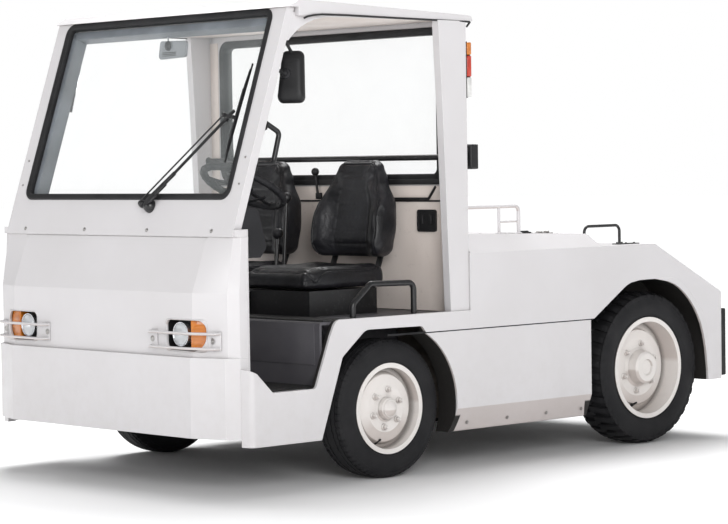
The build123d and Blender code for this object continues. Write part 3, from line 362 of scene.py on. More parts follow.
def fit_wheel(side, outward, end, nuts, face, cap, dome, valve):
    """Nuts, hub cap and valve of one wheel."""
    low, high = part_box(f"{end}_tyre_{side}")
    hub, body = (low + high) / 2, f"{end}_wheel_{side}"
    strokes = []
    for step in range(6):
        angle = step * pi / 3 + 0.35
        seat = hub + outward * face * MM + Vector((0, cos(angle), sin(angle))) * nuts * MM
        strokes += [(turned, [(-4, 0), (-4, 15), (2, 14), (5, 11), (5, 0)], seat, outward, 20),
                    (turned, [(4, 0), (4, 10.5), (15, 10.5), (18, 8), (18, 0)], seat, outward, 6),
                    (turned, [(16, 0), (16, 5.5), (24, 5.5), (25, 4.5), (25, 0)], seat, outward, 12)]
    make_piece(f"{end}_wheel_nuts_{side}", WHEEL_WHITE, strokes, body)
    rows = [(-8, 0), (-8, cap + 5), (0, cap + 5), (2, cap + 3), (3, cap)]
    rows += [(3 + dome * sin(t * pi / 16), cap * cos(t * pi / 16)) for t in range(1, 8)] + [(3 + dome, 0)]
    make_piece(f"{end}_hub_cap_{side}", WHEEL_WHITE, [(turned, rows, hub + outward * (face + 10) * MM, outward)], body)
    root = hub + outward * 20 * MM + Vector((0, -0.25, -0.968)) * valve * MM
    make_piece(f"{end}_valve_{side}", SEAL_RUBBER,
               [(turned, [(0, 0), (0, 8), (12, 7), (14, 5), (36, 4.5), (38, 3), (38, 0)], root,
                 outward + Vector((0, 0.12, 0.5)), 16)], body)


for side, sign in SIDES:
    for fittings in WHEEL_FITTINGS:
        fit_wheel(side, LEFT * sign, *fittings)
    paint_nodes(WHEEL_WHITE, f"front_rim_{side}", f"rear_rim_{side}")


# Tyres. Moulded in one piece: bead, bulging wall with two raised rings, buttress and tread. The front
# ones steer, so they have plain road ribs nicked at the shoulder. The rear ones pull, on bars as deep
# as a thumb that wrap over the shoulder.
TYRE_RUBBER = black_rubber("tyre_rubber", "tyre", (0.011, 0.011, 0.0125), (0.026, 0.0255, 0.027), 0.62)
WALL_ROWS = ((0.945, 0.20), (0.955, 0.225), (0.935, 0.235), (0.95, 0.27), (0.985, 0.36), (0.999, 0.46), (1.0, 0.53),
             (0.992, 0.62), (0.965, 0.72), (0.93, 0.80), (0.935, 0.815), (0.905, 0.83), (0.86, 0.90), (0.80, 0.97))


def tyre_wall(radius, half, seat, tread_half):
    """Half the section from the tread's edge in to the bead: rows of (from the middle plane, radius)."""
    rise = radius - seat
    return ([(tread_half + (half - tread_half) * 0.42, radius - rise * 0.12)]
            + [(half * wide, radius - rise * deep) for wide, deep in WALL_ROWS]
            + [(half * 0.74, seat), (half * 0.60, seat - 1.0)])


def spin_tyre(shape, end, side, tread, seat, steps):
    """A closed tyre turned round its axle from the tread's half section. Gives its hub and radius."""
    low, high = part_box(f"{end}_tyre_{side}")
    hub, half, radius = (low + high) / 2, (high.x - low.x) / 2 / MM, (high.y - low.y) / 2 / MM
    rows = tread + tyre_wall(radius, half, seat, tread[-1][0])
    loop = [(-x, r) for x, r in reversed(rows)] + rows
    turned(shape, loop + loop[:1], hub, LEFT, steps)
    bmesh.ops.remove_doubles(shape, verts=shape.verts, dist=0.00002)
    return hub, radius


def polar(point, hub):
    """A point's angle round the axle, its radius and its distance from the middle plane."""
    offset = point - hub
    flat = Vector((offset.y, offset.z))
    return flat.angle_signed(Vector((1, 0)), 0.0), flat.length / MM, offset.x / MM


def face_ring(face, hub, steps):
    """A face's place round the tyre as a whole number of steps, with its radius and side distance."""
    turn, radius, across = polar(face.calc_center_median(), hub)
    return int((turn + pi) / (2 * pi) * steps), radius, across


def move_out(verts, hub, step):
    """Moves vertices away from the axle by step millimetres."""
    for vert in verts:
        vert.co += Vector((0, vert.co.y - hub.y, vert.co.z - hub.z)).normalized() * step * MM


def verts_in(geometry):
    return [item for item in geometry if isinstance(item, bmesh.types.BMVert)]


def front_tyre(shape, side):
    """Three zigzag grooves between ribs, and nicks across both shoulders."""
    tread = [(0.0, 303.0), (19.0, 303.0), (19.6, 295.5), (25.4, 295.5), (26.0, 302.8), (44.0, 301.8), (44.6, 294.0),
             (50.4, 294.0), (51.0, 301.0), (66.0, 298.0)]
    steps = 64 * 4
    hub, radius = spin_tyre(shape, "front", side, tread, 184.0, steps)
    for vert in shape.verts:
        turn, reach, across = polar(vert.co, hub)
        if 18.5 < abs(across) < 51.5 and reach > radius - 10:
            step = round((turn + pi) / (2 * pi) * steps)
            vert.co.x += (1.6 if step % 4 < 2 else -1.6) * MM
    nicks = []
    for face in shape.faces:
        step, reach, across = face_ring(face, hub, steps)
        if step % 4 == 0 and 52.0 < abs(across) and reach > radius * 0.953:
            nicks.append(face)
    bmesh.ops.inset_individual(shape, faces=nicks, thickness=0.0004)
    move_out({vert for face in nicks for vert in face.verts}, hub, -4.5)


def rear_tyre(shape, side):
    """Bars on both shoulders, staggered, with a broken rib down the middle."""
    depth, floor, steps = 15.0, 350.0, 38 * 6
    tread = [(0.0, floor), (9.0, floor), (30.0, floor), (52.0, floor - 1), (72.0, floor - 4), (86.0, floor - 11)]
    hub, radius = spin_tyre(shape, "rear", side, tread, 228.0, steps)
    bars = []
    for face in shape.faces:
        step, reach, across = face_ring(face, hub, steps)
        lag = 0 if across > 0 else 3
        if (step + lag) % 6 < 3 and 9.0 < abs(across) and reach > radius * 0.882:
            bars.append(face)
        elif abs(across) < 9.0 and step % 6 < 5 and reach > radius * 0.9:
            bars.append(face)
    raised = verts_in(bmesh.ops.extrude_face_region(shape, geom=bars)["geom"])
    bmesh.ops.delete(shape, geom=bars, context="FACES_ONLY")
    for vert in raised:
        turn, reach, across = polar(vert.co, hub)
        crown = radius - 0.0009 * across * across - (7.0 if abs(across) > 80 else 0.0)
        move_out([vert], hub, min(depth, max(crown - reach, 3.0)))
    for vert in shape.verts:
        turn, reach, across = polar(vert.co, hub)
        if reach > radius * 0.90 and abs(across) > 8.0:
            vert.co = hub + Matrix.Rotation(0.035 * (abs(across) - 9.0) / 80.0, 4, "X") @ (vert.co - hub)


for side, sign in SIDES:
    for end, draw in (("front", front_tyre), ("rear", rear_tyre)):
        made = make_piece(f"{end}_tread_{side}", TYRE_RUBBER, [(draw, side)], f"{end}_wheel_{side}", smooth=28)
        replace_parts(made, f"{end}_tyre_{side}")


# Body shell. Bent and welded steel sheet in one colour inside and out. The cover's upper edge carries
# a folded lip under the windscreen apron, held by pan screws, and the skirts are bolted from below.
# Inside these housings the body paint turns near black: underseal and painted shade.
HOUSINGS = ((0.0, 303.0, 392.0), (-190.0, 560.0, 350.0), (1722.0, 365.0, 520.0))     # station, height, reach
BODY_WHITE = sprayed_steel("body_white", (0.635, 0.62, 0.632), (0.60, 0.584, 0.592), 0.30, 0.0035, 0.25, HOUSINGS)
SHELL = ["front_cover", "front_bumper_plate", "cab_front", "roof", "cab_rear_wall", "rear_body", "engine_hood"]
for side, sign in SIDES:
    SHELL += [f"side_panel_{side}", f"skirt_{side}", f"deck_rail_{side}", f"lamp_guard_{side}"]
paint_nodes(BODY_WHITE, *SHELL)


def round_edges(shape, edges, offset, segments):
    """Rounds edges off, by an offset in millimetres."""
    return bmesh.ops.bevel(shape, geom=edges, offset=offset * MM, segments=segments, profile=0.5, affect="EDGES",
                           material=-1)["verts"]


def screw(shape, at, way, head=7.0):
    """A pan-head screw on a washer."""
    turned(shape, [(-1, 0), (-1, head * 1.45), (1, head * 1.45), (1.4, head), (3.5, head * 0.9), (4.6, head * 0.55),
                   (4.9, 0)], at, way, 20)


def screws(points, way, head):
    """Strokes for a row of screws."""
    return [(screw, point, way, head) for point in points]


SCREEN_LOW, SCREEN_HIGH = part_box("windscreen")
SCREEN_SLOPE = Vector((0, SCREEN_HIGH.y - SCREEN_LOW.y - 0.006, SCREEN_HIGH.z - SCREEN_LOW.z)).normalized()
SCREEN_OUT = LEFT.cross(SCREEN_SLOPE)
FRAME_FRONT = place(0, -805, 1223)       # a point on the raked frame's front face


def on_screen(x, z, off=0.0):
    """A point on the raked front face at a height, off millimetres in front of it."""
    foot = FRAME_FRONT + SCREEN_SLOPE * ((z * MM - FRAME_FRONT.z) / SCREEN_SLOPE.z)
    return Vector((x * MM, foot.y, foot.z)) + SCREEN_OUT * off * MM


make_piece("apron_screws", BARE_STEEL,
           screws([on_screen(x, 1096) for x in (-655, -215, 225, 655)], SCREEN_OUT, 6.0)
           + screws([on_screen(x * 1.085, z) for x in (-700, 700) for z in (1290, 1400)], SCREEN_OUT, 3.5))


def cover_lip(shape):
    """The folded lip: long, shallow, with its lower corners cut off."""
    top, low, half, drop = place(0, -852, 1072), place(0, -937, 841), 640, 34
    down = (low - top).normalized()
    out = down.cross(LEFT).normalized()
    outline = ((-half, 0), (half, 0), (half - drop * 1.6, -drop), (-half + drop * 1.6, -drop))
    lip = [shape.verts.new(top + Vector((x * MM, 0, 0)) + down * (3 - v) * MM + out * 0.4 * MM) for x, v in outline]
    bmesh.ops.solidify(shape, geom=[shape.faces.new(lip)], thickness=0.003)
    round_edges(shape, shape.edges, 0.9, 2)


make_piece("cover_lip", BODY_WHITE, cover_lip)


# Lamp clusters. A black tray sits in each pocket with a round lamp in it and an amber block on its
# outer side that follows the corner. The painted guards in front are two bars between bolted ears.
def black_plastic(name="black_plastic", tone=(0.014, 0.014, 0.015), rough=0.42):
    """Moulded plastic with a fine spark-eroded grain."""
    return mottled(name, "black_plastic", (5.0, 4.0), (0.4, 0.8), tone, tuple(c * 1.7 for c in tone), (rough, 0.15),
                   (900.0, 0.0002), {"Specular IOR Level": 0.3})


def clear_lens():
    """Pressed glass, with upright flutes that break the beam up."""
    material, where = start_finish("lamp_lens")
    film = where.noise(30.0, 3.0)
    return set_surface(material, "lamp_lens", {
        "Base Color": film.mix((0.86, 0.88, 0.90), (0.72, 0.74, 0.76)), "Roughness": 0.08,
        "Alpha": 0.34 + film * 0.2, "Coat Weight": 0.6, "Normal": where.ribs("X", 38.0).bump(0.0012)})


def coloured_lens(name, deep, glow_tone):
    """Ribbed acrylic whose colour is lightened along its ribs and in blotches: a painted glow, as if from a bright
    backing.
    """
    material, where = start_finish(name)
    ribs, blotch = where.ribs("Z", 55.0), where.noise(24.0, 4.0).between(0.3, 0.75)
    return set_surface(material, "lamp_red", {
        "Base Color": (ribs * 0.45 + blotch * 0.55).mix(deep, glow_tone), "Roughness": 0.16 + blotch * 0.1,
        "Coat Weight": 0.7, "Normal": ribs.bump(0.0009)})


BLACK_PLASTIC, CLEAR_LENS = black_plastic(), clear_lens()
LAMP_BOWL = mottled("lamp_bowl", "lamp_lens", (26.0, 4.0), (0.4, 0.75), (0.86, 0.87, 0.89), (0.62, 0.63, 0.66),
                    (0.16, 0.2), None, {"Metallic": 0.92})
AMBER_LENS = coloured_lens("lamp_amber", (0.42, 0.10, 0.006), (0.80, 0.27, 0.02))
LAMP = place(539, -937, 668)
CORNER_X, CORNER_LEAD = 629.0, 0.327         # where the cover turns away, and by how much


def edges_of(verts):
    return list({line for vert in verts for line in vert.link_edges})


def block(shape, low, high, edge=1.0, steps=2):
    """A block between two corners, in millimetres from the front axle, with its edges rounded."""
    low, high = place(*low), place(*high)
    made = bmesh.ops.create_cube(shape, size=1.0)["verts"]
    bmesh.ops.scale(shape, vec=high - low, verts=made)
    bmesh.ops.translate(shape, vec=(low + high) / 2, verts=made)
    return round_edges(shape, edges_of(made), edge, steps) if edge else made


def round_corners(shape, verts, offset, segments):
    """Rounds the edges that run fore and aft."""
    round_edges(shape, [line for line in edges_of(verts)
                        if abs((line.verts[0].co - line.verts[1].co).normalized().y) > 0.9], offset, segments)


def front_face(shape):
    return min(shape.faces, key=lambda face: face.calc_center_median().y)


def lamp_tray(shape):
    """An open-fronted tray, its front cut back where the cover turns away."""
    low, high = (453, -926, 598), (699, -867, 732)
    round_corners(shape, block(shape, low, high, 0), 18, 6)
    front = front_face(shape)
    bmesh.ops.inset_region(shape, faces=[front], thickness=3.0 * MM, depth=0)
    sunk = bmesh.ops.extrude_face_region(shape, geom=[front])["geom"]
    bmesh.ops.delete(shape, geom=[front], context="FACES_ONLY")
    bmesh.ops.translate(shape, vec=(0, (high[1] - low[1] - 4) * MM, 0), verts=verts_in(sunk))
    for vert in shape.verts:
        if vert.co.y < place(0, -915, 0).y and vert.co.x > 0.64:
            vert.co.y += (vert.co.x / MM - 628.0) * 0.34 * MM


def turn_lens(shape):
    """The amber block, its face swept back with the corner."""
    for vert in block(shape, (601, -926, 603), (696, -872, 730), 0):
        if vert.co.y < place(0, -900, 0).y:
            vert.co.y += max(0.0, vert.co.x / MM - 632.0) * CORNER_LEAD * MM
    round_edges(shape, shape.edges, 6, 4)


make_pair("lamp_tray", BLACK_PLASTIC, lamp_tray, "headlamp")
BOWL = [(62, 0), (60, 16), (50, 30), (34, 40), (16, 46), (12, 47), (9, 49), (9, 51), (30, 51), (66, 30), (68, 0)]
make_pair("lamp_bowl", LAMP_BOWL, [(turned, BOWL, LAMP, BACK, 56)])
make_pair("lamp_glass", CLEAR_LENS,
          [(turned, [(10.5, 46), (6.5, 40), (3.0, 28), (1.2, 14), (0.6, 0)], LAMP, BACK, 56),
           (turned, [(10.5, 46), (13.5, 44), (9.5, 38), (6, 27), (4.2, 14), (3.6, 0)], LAMP, BACK, 56)])
make_pair("turn_lens", AMBER_LENS, turn_lens)
make_pair("guard_screws", BARE_STEEL,
          [(screw, place(372, -943.5, 645), -BACK, 9.0),
           (screw, place(726, -943.5 + (726 - CORNER_X) * CORNER_LEAD, 645), Vector((-0.31, -1, 0)), 9.0)])
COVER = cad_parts["front_cover"].data
COVER_SKIN = BVHTree.FromPolygons([vert.co.copy() for vert in COVER.vertices],
                                  [tuple(face.vertices) for face in COVER.polygons])
POCKET_LOW, POCKET_HIGH = 584.0, 747.0


def cover_y(x, z):
    """Y, in metres, of the cover's face. Over the pocket it is drawn between the faces above and below."""
    low, high = (COVER_SKIN.ray_cast(place(x, -1100, level), BACK)[0].y for level in (POCKET_LOW, POCKET_HIGH))
    share = (z - POCKET_LOW) / (POCKET_HIGH - POCKET_LOW)
    return low * (1 - share) + high * share


def rounded(corners, steps):
    """Points round an outline of quarter turns: rows of (x, z, radius, first quarter)."""
    return [(x + radius * cos((turn + step / steps) * pi / 2), z + radius * sin((turn + step / steps) * pi / 2))
            for x, z, radius, turn in corners for step in range(steps + 1)]


def skin(shape, rings, closed=True):
    """Faces between rings of vertices."""
    for first, second in zip(rings, rings[1:]):
        for step in range(len(first) - (0 if closed else 1)):
            after = (step + 1) % len(first)
            shape.faces.new([first[step], first[after], second[after], second[step]])


OUTER = ((680, 714, 18, 0), (472, 714, 18, 1), (472, 616, 18, 2), (680, 616, 18, 3))
INNER = ((652, 686, 44, 0), (482, 704, 26, 1), (492, 634, 34, 2), (626, 668, 70, 3))


def lamp_surround(shape):
    """The pressed frame that narrows the pocket's mouth and turns in round the lamp."""
    rings = []
    for corners, grow, off in ((OUTER, 3.5, -1.6), (OUTER, -1.0, 0.5), (INNER, 2.5, 1.6), (INNER, 0.0, 1.8),
                               (INNER, -2.0, 0.4), (INNER, -2.6, -3.0), (INNER, -2.6, -9.0)):
        outline = rounded([(x, z, radius + grow, turn) for x, z, radius, turn in corners], 9)
        rings.append([shape.verts.new((x * MM, cover_y(x, z) - off * MM, z * MM)) for x, z in outline])
    skin(shape, rings)
    bmesh.ops.solidify(shape, geom=shape.faces[:], thickness=0.0012)


make_pair("lamp_surround", BODY_WHITE, lamp_surround)


# Windscreen. One flat laminated pane, held by a fat black rubber seal with a filler strip in it.
# The rear window is a second pane of the same glass.
GLASS = mottled("glass", None, (3.0, 5.0, 0.6), (0.35, 0.85), (0.86, 0.93, 0.93), (0.90, 0.93, 0.93), (0.03, 0.05),
                None, {"Alpha": lambda where, film: 0.05 + film * 0.04, "Specular IOR Level": 0.4})
paint_nodes(GLASS, "windscreen", "rear_window")


def seal(shape, centre, across, up, out, half, tall, corner, rows):
    """A rounded-corner ring of rubber round a pane: rows are (growth beyond the pane's edge, height)."""
    at = shape.verts.layers.int.new("at")
    edges = []
    for grow, high in rows + rows[:1]:
        w, h, r = half - corner, tall - corner, corner + grow
        outline = rounded([(w, h, r, 0), (-w, h, r, 1), (-w, -h, r, 2), (w, -h, r, 3)], 8)
        spots = [centre + across * x * MM + up * z * MM + out * high * MM for x, z in outline]
        if edges:
            made = bmesh.ops.extrude_edge_only(shape, edges=edges)["geom"]
            verts = verts_in(made)
            edges = [part for part in made if isinstance(part, bmesh.types.BMEdge)]
        else:
            verts = [shape.verts.new(spot) for spot in spots]
            for index, vert in enumerate(verts):
                vert[at] = index
            edges = [shape.edges.new(pair) for pair in zip(verts, verts[1:] + verts[:1])]
        for vert in verts:
            vert.co = spots[vert[at]]
    bmesh.ops.remove_doubles(shape, verts=shape.verts, dist=0.00001)


SEAL_ROWS = [(-14, -27), (-16, -22), (-16, 2), (-12, 6), (-4, 8), (4, 8), (10, 6), (12, 2), (12, 0.3), (-8, 0.2),
             (-8, -27)]
SCREEN_FOOT, SCREEN_TOP = 1223, 2024
screen_tall = (SCREEN_TOP - SCREEN_FOOT) * MM / 2 / SCREEN_SLOPE.z / MM
make_piece("windscreen_seal", SEAL_RUBBER, [(seal, on_screen(0, (SCREEN_FOOT + SCREEN_TOP) / 2), LEFT, SCREEN_SLOPE,
                                             SCREEN_OUT, 706, screen_tall - 13, 40, SEAL_ROWS)], smooth=50)


# Wiper. A cast pivot cover, a channel arm and a thin parallel rod that keeps the blade upright, and a
# blade of yokes over a rubber squeegee, all in satin black.
def satin_black(name="satin_black", slot="black_paint", rough=0.30):
    """Satin black enamel over steel, rubbed grey along its length."""
    return mottled(name, slot, (60.0, 5.0, 0.7), (0.56, 0.78), (0.010, 0.010, 0.011), (0.06, 0.06, 0.062),
                   (rough, 0.25), (300.0, 2.0, 0.00015))


SATIN_BLACK = satin_black()


def bar(shape, start, end, wide, thick, out, edge=0.8):
    """A flat bar from one point to another: wide across, thick along out."""
    run = end - start
    made = bmesh.ops.create_cube(shape, size=1.0)["verts"]
    across = run.cross(out).normalized()
    turn = Matrix((across, run.normalized(), across.cross(run.normalized()))).transposed().to_4x4()
    bmesh.ops.scale(shape, vec=(wide * MM, run.length, thick * MM), verts=made)
    bmesh.ops.transform(shape, matrix=Matrix.Translation((start + end) / 2) @ turn, verts=made)
    round_edges(shape, edges_of(made), edge, 2)


def rod(shape, start, end, radius, sides=16):
    """A round rod between two points with eased ends."""
    long = (end - start).length / MM
    turned(shape, [(0, 0), (0, radius - 1.0), (1.0, radius), (long - 1.0, radius), (long, radius - 1.0), (long, 0)],
           start, end - start, sides)


def screen_bar(x, z, off, x_end, z_end, off_end, *values):
    """The stroke for a bar over the windscreen."""
    return bar, on_screen(x, z, off), on_screen(x_end, z_end, off_end), *values[:2], SCREEN_OUT, *values[2:]


PIVOT, JOINT = Vector((213, 1200)), Vector((600, 1552))
strokes = [
    (turned, [(0, 0), (0, 30), (10, 29), (22, 24), (30, 16), (33, 8), (34, 0)], on_screen(213, 1196), SCREEN_OUT, 36),
    (turned, [(0, 0), (0, 17), (14, 16), (20, 12), (24, 8), (25, 0)], on_screen(158, 1206), SCREEN_OUT, 28),
    screen_bar(158, 1204, 8, 213, 1198, 8, 34, 16, 3)]
for along, wide in ((0.0, 30), (0.12, 24), (0.24, 17)):
    first, second = PIVOT + (JOINT - PIVOT) * along, PIVOT + (JOINT - PIVOT) * (along + 0.13)
    strokes.append(screen_bar(*first, 30, *second, 28 - along * 8, wide, 11, 2.5))
strokes += [screen_bar(335, 1312, 27, *JOINT, 22, 13, 7, 1.5),
            (rod, on_screen(160, 1212, 22), on_screen(578, 1574, 20), 3.6, 12),
            screen_bar(572, 1568, 20, 652, 1560, 20, 16, 8, 2), screen_bar(600, 1552, 22, 640, 1590, 18, 14, 8, 2)]
strokes += [(turned, [(12, 0), (12, 9), (25, 9), (28, 6), (28, 0)], on_screen(x, z), SCREEN_OUT, 16)
            for x, z in ((600, 1553), (578, 1574), (640, 1562))]
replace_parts(make_piece("wiper_arm", SATIN_BLACK, strokes, slot="black_plastic", smooth=40), "wiper")
BLADE_FOOT, BLADE_TIP = Vector((640, 1376)), Vector((668, 1790))


def blade_bar(low, low_off, high, high_off, *values):
    """The stroke for a bar along the blade, between two shares of its length."""
    return screen_bar(*(BLADE_FOOT + (BLADE_TIP - BLADE_FOOT) * low), low_off,
                      *(BLADE_FOOT + (BLADE_TIP - BLADE_FOOT) * high), high_off, *values)


strokes = [blade_bar(0.26, 15, 0.74, 15, 9, 6, 1.5)]
for low, middle, high in ((0.06, 0.24, 0.42), (0.58, 0.76, 0.94)):
    strokes += [blade_bar(low, 9, middle, 14, 7, 4), blade_bar(middle, 14, high, 9, 7, 4)]
strokes += [blade_bar(0.0, 6.5, 1.0, 6.5, 6, 3), blade_bar(0.0, 3, 1.0, 3, 2, 5, 0.4)]
make_piece("wiper_blade", SATIN_BLACK, strokes, slot="black_plastic", smooth=40)
make_piece("washer_jet", BODY_WHITE, [(block, (392, -818, 1168), (420, -808, 1180), 3, 3)])


# Roof and cab lining. A rain gutter of dark rod runs along each side of the roof, a gusset fills each
# door's upper front corner, and the wall behind the seats and the ceiling are lined in beige board.
def beige_board():
    """Vinyl-faced board in warm beige, scuffed in patches and with a fine press grain."""
    material, where = start_finish("beige_board")
    broad = where.stretched(1.0, 1.0, 0.35).noise(4.0, 4.0, 0.55).between(0.3, 0.7)
    scuff = where.noise(26.0, 5.0, 0.65).between(0.6, 0.82)
    tone = (scuff * 0.4).mix(broad.mix((0.70, 0.62, 0.57), (0.80, 0.725, 0.675)), (0.33, 0.29, 0.26))
    return set_surface(material, "body_white", {"Base Color": tone, "Roughness": 0.5 + scuff * 0.2,
                                                "Normal": where.cells(620.0).bump(0.00022)})


BEIGE_BOARD = beige_board()
# The screen liners' dark grey is painted shade: it stands in for the shade on the pillars' deep inner faces.
LINER_SHADE_GREY = black_plastic("liner_shade_grey", (0.13, 0.143, 0.158), 0.5)
make_piece("rear_wall_lining", BEIGE_BOARD, [(block, (-838, 402.0, 703), (838, 404.6, 1262), 0.6),
                                             (block, (-838, 402.0, 1262), (-775, 404.6, 1962), 0.6),
                                             (block, (775, 402.0, 1262), (838, 404.6, 1962), 0.6)])
make_piece("ceiling_lining", BEIGE_BOARD, [(block, (-808, -395, 1990), (808, 398, 1994), 1.0)])
make_piece("screen_liners", LINER_SHADE_GREY, [screen_bar(x, 1248, -52, x, 1986, -52, 50, 66, 5) for x in (-688, 688)]
           + [screen_bar(-700, 1976, -52, 700, 1976, -52, 36, 66, 5)])
GUTTER_LINE = [(825, -466, 1977), (826, -445, 1985), (828, -412, 1991), (830, -368, 1995), (836, -242, 1995),
               (851, 68, 1990), (870, 462, 1985), (871, 480, 1984), (870, 458, 1962)]
GUSSET = [(-560, 1885), (-526, 1885), (-509, 1902), (-486, 1921), (-458, 1941), (-418, 1961), (-372, 1977),
          (-321, 1986), (-240, 1989), (-240, 2004), (-500, 2004), (-545, 1960)]


def door_gusset(shape):
    """A sheet in the door's upper front corner, cut to a curve."""
    sheet = shape.faces.new([shape.verts.new(place(784, y, z)) for y, z in GUSSET])
    thick = bmesh.ops.extrude_face_region(shape, geom=[sheet])["geom"]
    bmesh.ops.translate(shape, vec=(8 * MM, 0, 0), verts=verts_in(thick))


make_pair("door_gusset", BODY_WHITE, door_gusset)
make_pair("roof_gutter", SATIN_BLACK, [(rod, place(*low), place(*high), 4.6, 12)
                                       for low, high in zip(GUTTER_LINE, GUTTER_LINE[1:])])


# Rear wall fittings. The window's rubber, a grab bar of dark tube across it, a black trim moulding, a
# lever with a round knob and a small moulded box for papers beside the driver's seat.
WINDOW_FOOT, WINDOW_TOP, WINDOW_HALF = 1301, 1947, 742
REAR_SEAL = [(-12, -50), (-14, -46), (-14, 2), (-10, 5), (-2, 7), (8, 7), (14, 4), (14, 0.3), (-8, 0.2), (-8, -45.2),
             (20, -45.2), (20, -50), (10, -53), (0, -53)]
BAR_FOOT = [(0, 0), (0, 19), (4, 19), (6, 16), (8, 10), (8, 0)]
make_piece("rear_window_seal", SEAL_RUBBER, [(seal, place(0, 450, (WINDOW_FOOT + WINDOW_TOP) / 2), -LEFT, UP, BACK,
                                              WINDOW_HALF, (WINDOW_TOP - WINDOW_FOOT) / 2, 40, REAR_SEAL)], smooth=50)
make_piece("window_bar", SATIN_BLACK, [(rod, place(-836, 380, 1388), place(836, 380, 1388), 13.0, 24),
                                       (turned, BAR_FOOT, place(-836, 380, 1388), LEFT, 24),
                                       (turned, BAR_FOOT, place(836, 380, 1388), -LEFT, 24)])
make_piece("wall_lever", BLACK_PLASTIC, [
    (rod, place(-48, 390, 1215), place(-59, 384, 1322), 6.0),
    (turned, [(-19, 0), (-17, 9), (-10, 16), (0, 19), (10, 16), (17, 9), (19, 0)], place(-59, 384, 1330), UP, 28),
    (block, (-66, 388, 1202), (-30, 401.8, 1232), 4, 3)])
make_piece("rear_wall_trim", BLACK_PLASTIC, [(block, (-838, 392, 1268), (838, 402, 1292), 2.5, 3),
                                             (block, (-838, 396, 1190), (838, 401.8, 1198), 1.5),
                                             (rod, place(690, 386, 1204), place(760, 360, 1258), 6.0, 14),
                                             (rod, place(430, 386, 1204), place(690, 386, 1204), 6.0, 14)])


def document_box(shape):
    """A shallow box with a sunk face and two clips."""
    round_corners(shape, block(shape, (607, 392, 1056), (725, 402, 1155), 0), 12, 5)
    front = front_face(shape)
    bmesh.ops.inset_region(shape, faces=[front], thickness=5 * MM, depth=0)
    bmesh.ops.inset_region(shape, faces=[front], thickness=2 * MM, depth=-7 * MM)
    for x in (638, 692):
        block(shape, (x - 9, 388, 1090), (x + 9, 399, 1132), 3, 3)


make_piece("document_box", BLACK_PLASTIC, document_box)


# Floor. The step well and platform are steel under ribbed black matting, the riser is grey painted
# plate in two halves, and the pedals hang from the bulkhead on bent arms.
FLOOR_GREY = mottled("floor_grey", "floor_grey", (5.0, 5.0, 0.6), (0.35, 0.75), (0.072, 0.069, 0.078),
                     (0.10, 0.097, 0.106), (0.42, 0.25), (140.0, 3.0, 0.0005))
RIBBED_MAT = mottled("ribbed_mat", "floor_grey", (45.0, 6.0, 0.7), (0.5, 0.8), (0.012, 0.012, 0.013),
                     (0.045, 0.042, 0.038), (0.6, 0.2), (500.0, 3.0, 0.0003))
paint_nodes(FLOOR_GREY, "cab_floor")


def floor_mat(shape, low, high, pitch=18, rise=2.2):
    """A mat between two corners, with ribs from side to side."""
    block(shape, low, high, 1.5)
    for step in range(int((high[1] - low[1]) / pitch)):
        y = low[1] + (step + 0.5) * pitch
        block(shape, (low[0] + 6, y - pitch * 0.28, high[2] - 0.5), (high[0] - 6, y + pitch * 0.28, high[2] + rise),
              0.8, 1)


make_piece("floor_mats", RIBBED_MAT, [(floor_mat, (-842, -765, 427.3), (842, -440, 433)),
                                      (floor_mat, (-842, -400, 700.3), (842, -240, 705))])
make_piece("riser_plates", FLOOR_GREY, [(block, (low, -434.5, 520), (high, -430.4, 694))
                                        for low, high in ((40, 820), (-820, -40))])
strokes = []
for x, wide in ((450, 34), (330, 44), (215, 44)):
    knee = place(x, -700, 560)
    strokes += [(rod, place(x, -740, 760), knee, 8.0, 12), (rod, knee, place(x, -660, 520), 8.0, 12),
                (bar, place(x, -676, 502), place(x, -648, 556), wide * 1.6, 9, Vector((0, -1, 0.5)), 3)]
make_piece("pedals", SATIN_BLACK, strokes, smooth=40)


# Controls. A moulded dash, the column under a two-part shroud with its stalks, a fat-rimmed wheel with
# three spokes, and two levers with round knobs between the seats.
SOFT_PLASTIC = mottled("soft_plastic", "black_plastic", (8.0, 4.0), (0.4, 0.8), (0.011, 0.011, 0.013),
                       (0.024, 0.024, 0.027), (0.5, 0.15), (420.0, 0.0004),
                       {"Specular IOR Level": 0.3})
paint_nodes(SOFT_PLASTIC, "instrument_panel")
COLUMN = Vector((0, 0.485, 0.875)).normalized()
WHEEL_MIDDLE = place(320, -391, 1260)
COLUMN_FOOT = WHEEL_MIDDLE - COLUMN * 0.349
WHEEL_RIM, WHEEL_GRIP, WHEEL_RISE = 185.0, 16.0, 15.3


def on_wheel(radius, angle, off):
    """A point of the steering wheel: its radius, its angle from straight up, its height along the column."""
    up = COLUMN.cross(LEFT) * (1 if COLUMN.cross(LEFT).z > 0 else -1)
    return WHEEL_MIDDLE + COLUMN * (WHEEL_RISE + off) * MM + (LEFT * sin(angle) + up * cos(angle)) * radius * MM


strokes = [(turned, [(WHEEL_GRIP * sin(t * pi / 8), WHEEL_RIM + WHEEL_GRIP * cos(t * pi / 8)) for t in range(17)],
            on_wheel(0, 0, 0), COLUMN, 96)]
for step in range(24):
    angle = step * pi / 12
    rim = on_wheel(WHEEL_RIM, angle, 0)
    strokes.append((turned, [(-5, 0), (-5, 17.2), (-3, 17.6), (3, 17.6), (5, 17.2), (5, 0)], rim,
                    on_wheel(WHEEL_RIM, angle + 0.01, 0) - rim, 14))
for angle in (pi, pi / 3, -pi / 3):
    strokes += [(bar, on_wheel(30, angle, -2), on_wheel(110, angle, -4), 30, 9, COLUMN, 3),
                (bar, on_wheel(104, angle, -4), on_wheel(WHEEL_RIM, angle, 0), 22, 8, COLUMN, 3)]
strokes.append((turned, [(-16, 0), (-16, 36), (-6, 44), (2, 44), (8, 41), (12, 34), (14, 20), (14.6, 0)],
                on_wheel(0, 0, 0), COLUMN, 48))
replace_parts(make_piece("steering_grip", SOFT_PLASTIC, strokes, smooth=40), "steering_wheel")

